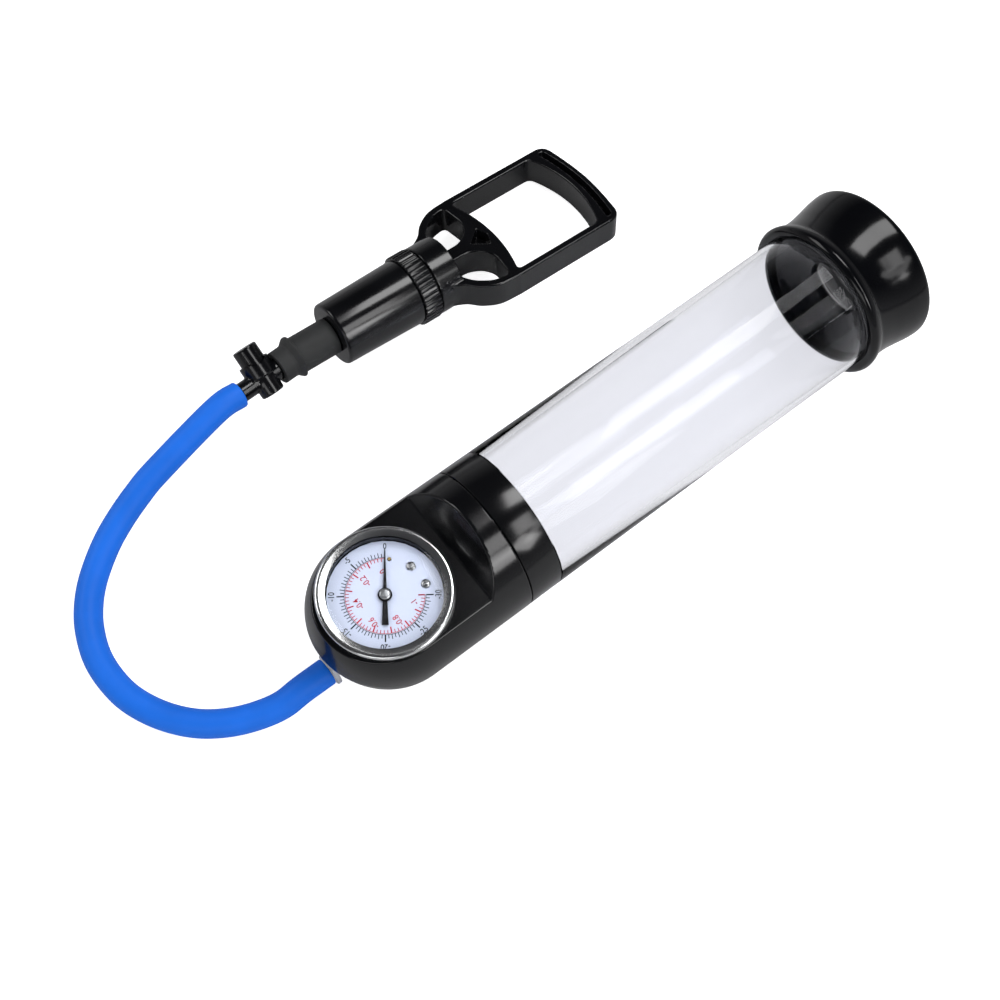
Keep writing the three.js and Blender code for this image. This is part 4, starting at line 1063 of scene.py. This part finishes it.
def handle_field(p):
    x, y, z = p
    high = np.abs(z)
    side = np.abs(y)
    slab = both(outline_distance(x, y, HANDLE), high - HANDLE_HALF_HEIGHT, 0.7)
    ring = bar_x(p, RING_START, 57, RING_R, 0.4)
    solid = either(slab, ring, 0.8)
    solid = without(solid, outline_distance(x, y, GRIP_WINDOW), 0.7)
    solid = without(solid, outline_distance(x, side, FINGER_WINDOW), 0.5)
    for pocket in (STEM_POCKET, GRIP_POCKET):
        solid = without(solid, np.maximum(outline_distance(x, y, pocket), 1.4 - high), 0.3)
    solid = without(solid, outline_distance(x, np.hypot(y, z), RING_HOLLOW), 0.2)
    return np.maximum(solid, -bar_x(p, 45, 53.3, ROD_R + GAP))


skin(
    "grip_handle",
    handle_field,
    (RING_START, -HALF, -RING_R),
    (HANDLE_END, HALF, RING_R),
    0.55,
    PUMP,
    "gloss",
    "plunger",
    ["handle"],
)

# ---------------------------------------------------------------- adapter and valve

adapter_line = softened(
    [
        (-27, 4.8),
        (-27, 6.95, 0.5),
        (-21.6, 6.95, 0.6),
        (-20.6, 7.25),
        (-18.8, 8.8),
        (-18.2, 9.1, 0.4),
        (-17.6, 8.9, 0.2),
        (-17.5, 7.8, 0.3),
        (-0.3, 7.8, 0.5),
        (-0.3, 3.9),
        (-9.3, 3.9),
        (-9.3, 1.5),
        (-21.7, 1.5),
        (-21.7, 4.8),
    ],
    0.15,
)
bend = (RIDGE_X, ADAPTER_BEND)
lathe("adapter", adapter_line, PUMP, "rubber", ROOT, ["rubber_adapter"], around=96, bend=bend)

SIDEWAYS = math.sin(math.radians(90 - VALVE_TILT))
UPWARDS = math.cos(math.radians(90 - VALVE_TILT))
CROSS_X = VALVE_X - RIDGE_X
CROSS_BODY = softened(
    [(-7.3, -3), (-7.3, 5, 0.9), (0.5, 5, 0.2), (1, 6.45, 0.4), (7.7, 6.45, 0.4), (7.7, -3)], 0.1
)
WELL = [(-5.9, -3), (-5.9, 2.9), (2, 2.9), (2, 1.7), (3, 1.7), (3, 5.5), (20, 5.5), (20, -3)]


def valve_field(p):
    x, y, z = p
    run = np.hypot(y, z)
    straight = np.minimum(bar_x(p, -26.9, -10, 4, 0.3), bar_x(p, CROSS_X, -3.6, 4.5, 0.4))
    along = y * SIDEWAYS + z * UPWARDS
    beside = np.hypot(x - CROSS_X, y * UPWARDS - z * SIDEWAYS)
    solid = either(straight, outline_distance(along, beside, CROSS_BODY), 0.7)
    solid = np.minimum(solid, bar_x(p, -36.9, -25, 1.8, 0.2))
    solid = without(solid, outline_distance(along, beside, WELL), 0.15)
    return np.maximum(solid, 0.9 - run)


BUTTON_R = 5.2
BUTTON_TOP = 14.2
BUTTON = softened(
    [
        (0.15, -3),
        (0.15, 2.3),
        (0.45, 2.3),
        (0.45, 1.4),
        (12.6, 1.4),
        (12.6, 4.3),
        (6, 4.3),
        (6, BUTTON_R),
        (BUTTON_TOP, BUTTON_R, 0.7),
        (BUTTON_TOP, -3),
    ],
    0.1,
)


def button_field(p):
    x, y, z = p
    solid = outline_distance(z, np.hypot(x, y), BUTTON)
    for angle in (-125, -55):
        a = math.radians(angle)
        out = x * math.cos(a) + y * math.sin(a)
        beside = y * math.cos(a) - x * math.sin(a)
        notch = np.maximum(np.maximum(4.7 - out, np.abs(beside) - 0.45), np.abs(z - 10) - 1.6)
        solid = without(solid, notch, 0.12)
    return solid


skin("valve", valve_field, (-36.9, -8, -8), (-3.6, 8, 8), 0.35, VALVE, "gloss", ROOT, ["valve_body"])
skin(
    "button",
    button_field,
    (-BUTTON_R, -BUTTON_R, 0.15),
    (BUTTON_R, BUTTON_R, BUTTON_TOP),
    0.25,
    CROSS,
    "gloss",
    "button",
    ["release_button"],
)

SPRING_FOOT = 3.6
SPRING_TOP = 12.0
SPRING_R = 3.0
SPRING_TURNS = 4
WIRE_R = 0.3


def button_spring():
    """The coil under the button, closed at both ends."""
    around = 10
    steps = 30 * SPRING_TURNS
    spots = []
    for i in range(steps + 1):
        angle = 2 * math.pi * SPRING_TURNS * i / steps
        height = SPRING_FOOT + (SPRING_TOP - SPRING_FOOT) * i / steps
        for k in range(around):
            side = 2 * math.pi * k / around
            out = SPRING_R + WIRE_R * math.cos(side)
            up = height + WIRE_R * math.sin(side)
            spots.append((out * math.cos(angle), out * math.sin(angle), up))
    faces = [tuple(range(around)), tuple(range(steps * around, (steps + 1) * around))[::-1]]
    for i in range(steps):
        for k in range(around):
            n = (k + 1) % around
            low, high = i * around, (i + 1) * around
            faces.append((low + k, low + n, high + n, high + k))
    spring = finish_piece(make("button_spring", spots, faces, CROSS), "steel", ROOT, ["valve_spring"])
    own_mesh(spring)


button_spring()

# ---------------------------------------------------------------- pieces kept from the CAD

KEPT = {
    "cylinder_seal": "rubber",
    "gauge_dial": "dial",
    "stop_pin": "brass",
    "pointer_arbor": "brass",
    "hairspring": "brass",
    "sector_gear": "brass",
    "gauge_link": "brass",
    "bourdon_tube": "brass",
    "bourdon_tip": "brass",
    "gauge_socket": "brass",
    "movement_plate_lower": "brass",
    "movement_plate_upper": "brass",
    "movement_pillar_left": "brass",
    "movement_pillar_right": "brass",
    "valve_seal": "rubber",
    "inlet_flap": "rubber",
    "rod_bush": "dial",
    "piston": "gloss",
    "piston_seal": "rubber",
    "outlet_flap": "rubber",
    "piston_screw": "steel",
}
for name, look in KEPT.items():
    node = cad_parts[name]
    node.data.materials.clear()
    node.data.materials.append(MATS[look])

# ---------------------------------------------------------------- floor, light and air

FLOOR_SEEN = 0.8
FLOOR_THROUGH = 0.88
FLOOR_SHINE = 0.85


def calculate(nodes, links, operation, first, second):
    step = nodes.new("ShaderNodeMath")
    step.operation = operation
    for socket, value in zip(step.inputs, (first, second)):
        if isinstance(value, float):
            socket.default_value = value
        else:
            links.new(value, socket)
    return step.outputs[0]


def shone(nodes, links, path):
    """1 where a ray has come off a shine."""
    return calculate(nodes, links, "MINIMUM", path.outputs["Glossy Depth"], 1.0)


def shone_outside(nodes, links, path):
    """The same, but 0 where the ray was only turned back within a clear wall."""
    in_wall = calculate(nodes, links, "COMPARE", path.outputs["Transmission Depth"], 2.0)
    outside = calculate(nodes, links, "SUBTRACT", 1.0, in_wall)
    return calculate(nodes, links, "MULTIPLY", shone(nodes, links, path), outside)


def make_floor():
    """A pale floor that takes the shadow, white to the camera and dimmer in what shines."""
    bpy.ops.mesh.primitive_plane_add(size=8, location=(0, 0, 0))
    floor = bpy.context.object
    floor.name = "floor"
    mat, nodes, links, shader = tree("pale_floor")
    shader.inputs["Base Color"].default_value = (0.88, 0.88, 0.89, 1)
    shader.inputs["Roughness"].default_value = 1.0
    shader.inputs["Specular IOR Level"].default_value = 0.0
    path = nodes.new("ShaderNodeLightPath")
    seen = calculate(nodes, links, "MULTIPLY", path.outputs["Is Camera Ray"], FLOOR_SEEN)
    glow = nodes.new("ShaderNodeEmission")
    links.new(seen, glow.inputs["Strength"])
    bright = nodes.new("ShaderNodeAddShader")
    links.new(shader.outputs["BSDF"], bright.inputs[0])
    links.new(glow.outputs["Emission"], bright.inputs[1])
    even = nodes.new("ShaderNodeEmission")
    even.inputs["Color"].default_value = (0.985, 0.985, 1, 1)
    even.inputs["Strength"].default_value = FLOOR_THROUGH
    through = calculate(nodes, links, "MULTIPLY", path.outputs["Is Transmission Ray"], 0.85)
    lit = nodes.new("ShaderNodeMixShader")
    links.new(through, lit.inputs["Fac"])
    links.new(bright.outputs["Shader"], lit.inputs[1])
    links.new(even.outputs["Emission"], lit.inputs[2])
    dim = nodes.new("ShaderNodeEmission")
    dim.inputs["Strength"].default_value = 0.05
    mirrored = nodes.new("ShaderNodeMixShader")
    shine = calculate(nodes, links, "MULTIPLY", shone_outside(nodes, links, path), 1 - FLOOR_SHINE)
    links.new(shine, mirrored.inputs["Fac"])
    links.new(lit.outputs["Shader"], mirrored.inputs[1])
    links.new(dim.outputs["Emission"], mirrored.inputs[2])
    links.new(mirrored.outputs["Shader"], nodes["Material Output"].inputs["Surface"])
    floor.data.materials.append(mat)


def make_air():
    """White when looked at or seen through clear plastic, soft light on matt faces, dark in a shine."""
    world = bpy.data.worlds.new("air")
    bpy.context.scene.world = world
    world.use_nodes = True
    nodes = world.node_tree.nodes
    links = world.node_tree.links
    path = nodes.new("ShaderNodeLightPath")
    coords = nodes.new("ShaderNodeTexCoord")
    split = nodes.new("ShaderNodeSeparateXYZ")
    links.new(coords.outputs["Generated"], split.inputs["Vector"])
    fade = nodes.new("ShaderNodeValToRGB")
    fade.color_ramp.elements[0].position = 0.0
    fade.color_ramp.elements[0].color = (0.4, 0.4, 0.41, 1)
    fade.color_ramp.elements[1].position = 0.5
    fade.color_ramp.elements[1].color = (0.025, 0.025, 0.028, 1)
    links.new(split.outputs["Z"], fade.inputs["Fac"])
    shine = nodes["Background"]
    links.new(fade.outputs["Color"], shine.inputs["Color"])
    matt = nodes.new("ShaderNodeBackground")
    matt.inputs["Color"].default_value = (1, 1, 1, 1)
    matt.inputs["Strength"].default_value = 0.4
    white = nodes.new("ShaderNodeBackground")
    white.inputs["Color"].default_value = (1, 1, 1, 1)
    reflected = shone(nodes, links, path)
    first = nodes.new("ShaderNodeMixShader")
    links.new(reflected, first.inputs["Fac"])
    links.new(matt.outputs["Background"], first.inputs[1])
    links.new(shine.outputs["Background"], first.inputs[2])
    second = nodes.new("ShaderNodeMixShader")
    straight = calculate(
        nodes, links, "MAXIMUM", path.outputs["Is Camera Ray"], path.outputs["Is Transmission Ray"]
    )
    links.new(calculate(nodes, links, "SUBTRACT", straight, reflected), second.inputs["Fac"])
    links.new(first.outputs["Shader"], second.inputs[1])
    links.new(white.outputs["Background"], second.inputs[2])
    links.new(second.outputs["Shader"], nodes["World Output"].inputs["Surface"])


def softbox(name, start, end, width, target, watts):
    """A rectangular lamp, in metres, whose long middle line runs from start to end, facing a target."""
    start, end, target = Vector(start), Vector(end), Vector(target)
    middle = (start + end) / 2
    along = (end - start).normalized()
    back = middle - target
    back = (back - along * back.dot(along)).normalized()
    lamp = bpy.data.lights.new(name, "AREA")
    lamp.shape = "RECTANGLE"
    lamp.size = (end - start).length
    lamp.size_y = width
    lamp.energy = watts
    obj = bpy.data.objects.new(name, lamp)
    turn = Matrix((along, back.cross(along), back)).transposed()
    obj.matrix_world = Matrix.Translation(middle) @ turn.to_4x4()
    bpy.context.scene.collection.objects.link(obj)


make_floor()
make_air()
softbox("overhead", (0.28, 0.14, 1.2), (0.74, 0.05, 1.1), 0.45, (0.1, 0, 0), 5.0)
softbox("near_side", (0.22, -1.05, 0.7), (0.56, -0.75, 0.91), 0.16, (0, -0.05, 0.05), 0.7)
softbox("near_wide", (0.06, -1.05, 0.62), (0.32, -0.95, 0.8), 0.42, (0, -0.05, 0.05), 2.6)
softbox("near_high", (0.27, -0.45, 1.05), (0.27, -0.8, 0.88), 0.3, (0, -0.05, 0.05), 1.6)
softbox("far_side", (-0.95, 0.7, 0.95), (-0.3, 1.15, 0.95), 0.5, (0, 0, 0.03), 4.0)
softbox("front", (-1.3, -0.5, 0.8), (-0.7, -1.2, 0.8), 0.5, (0, 0, 0.03), 3.0)

scene = bpy.context.scene
scene.view_settings.view_transform = "Standard"
scene.view_settings.look = "None"
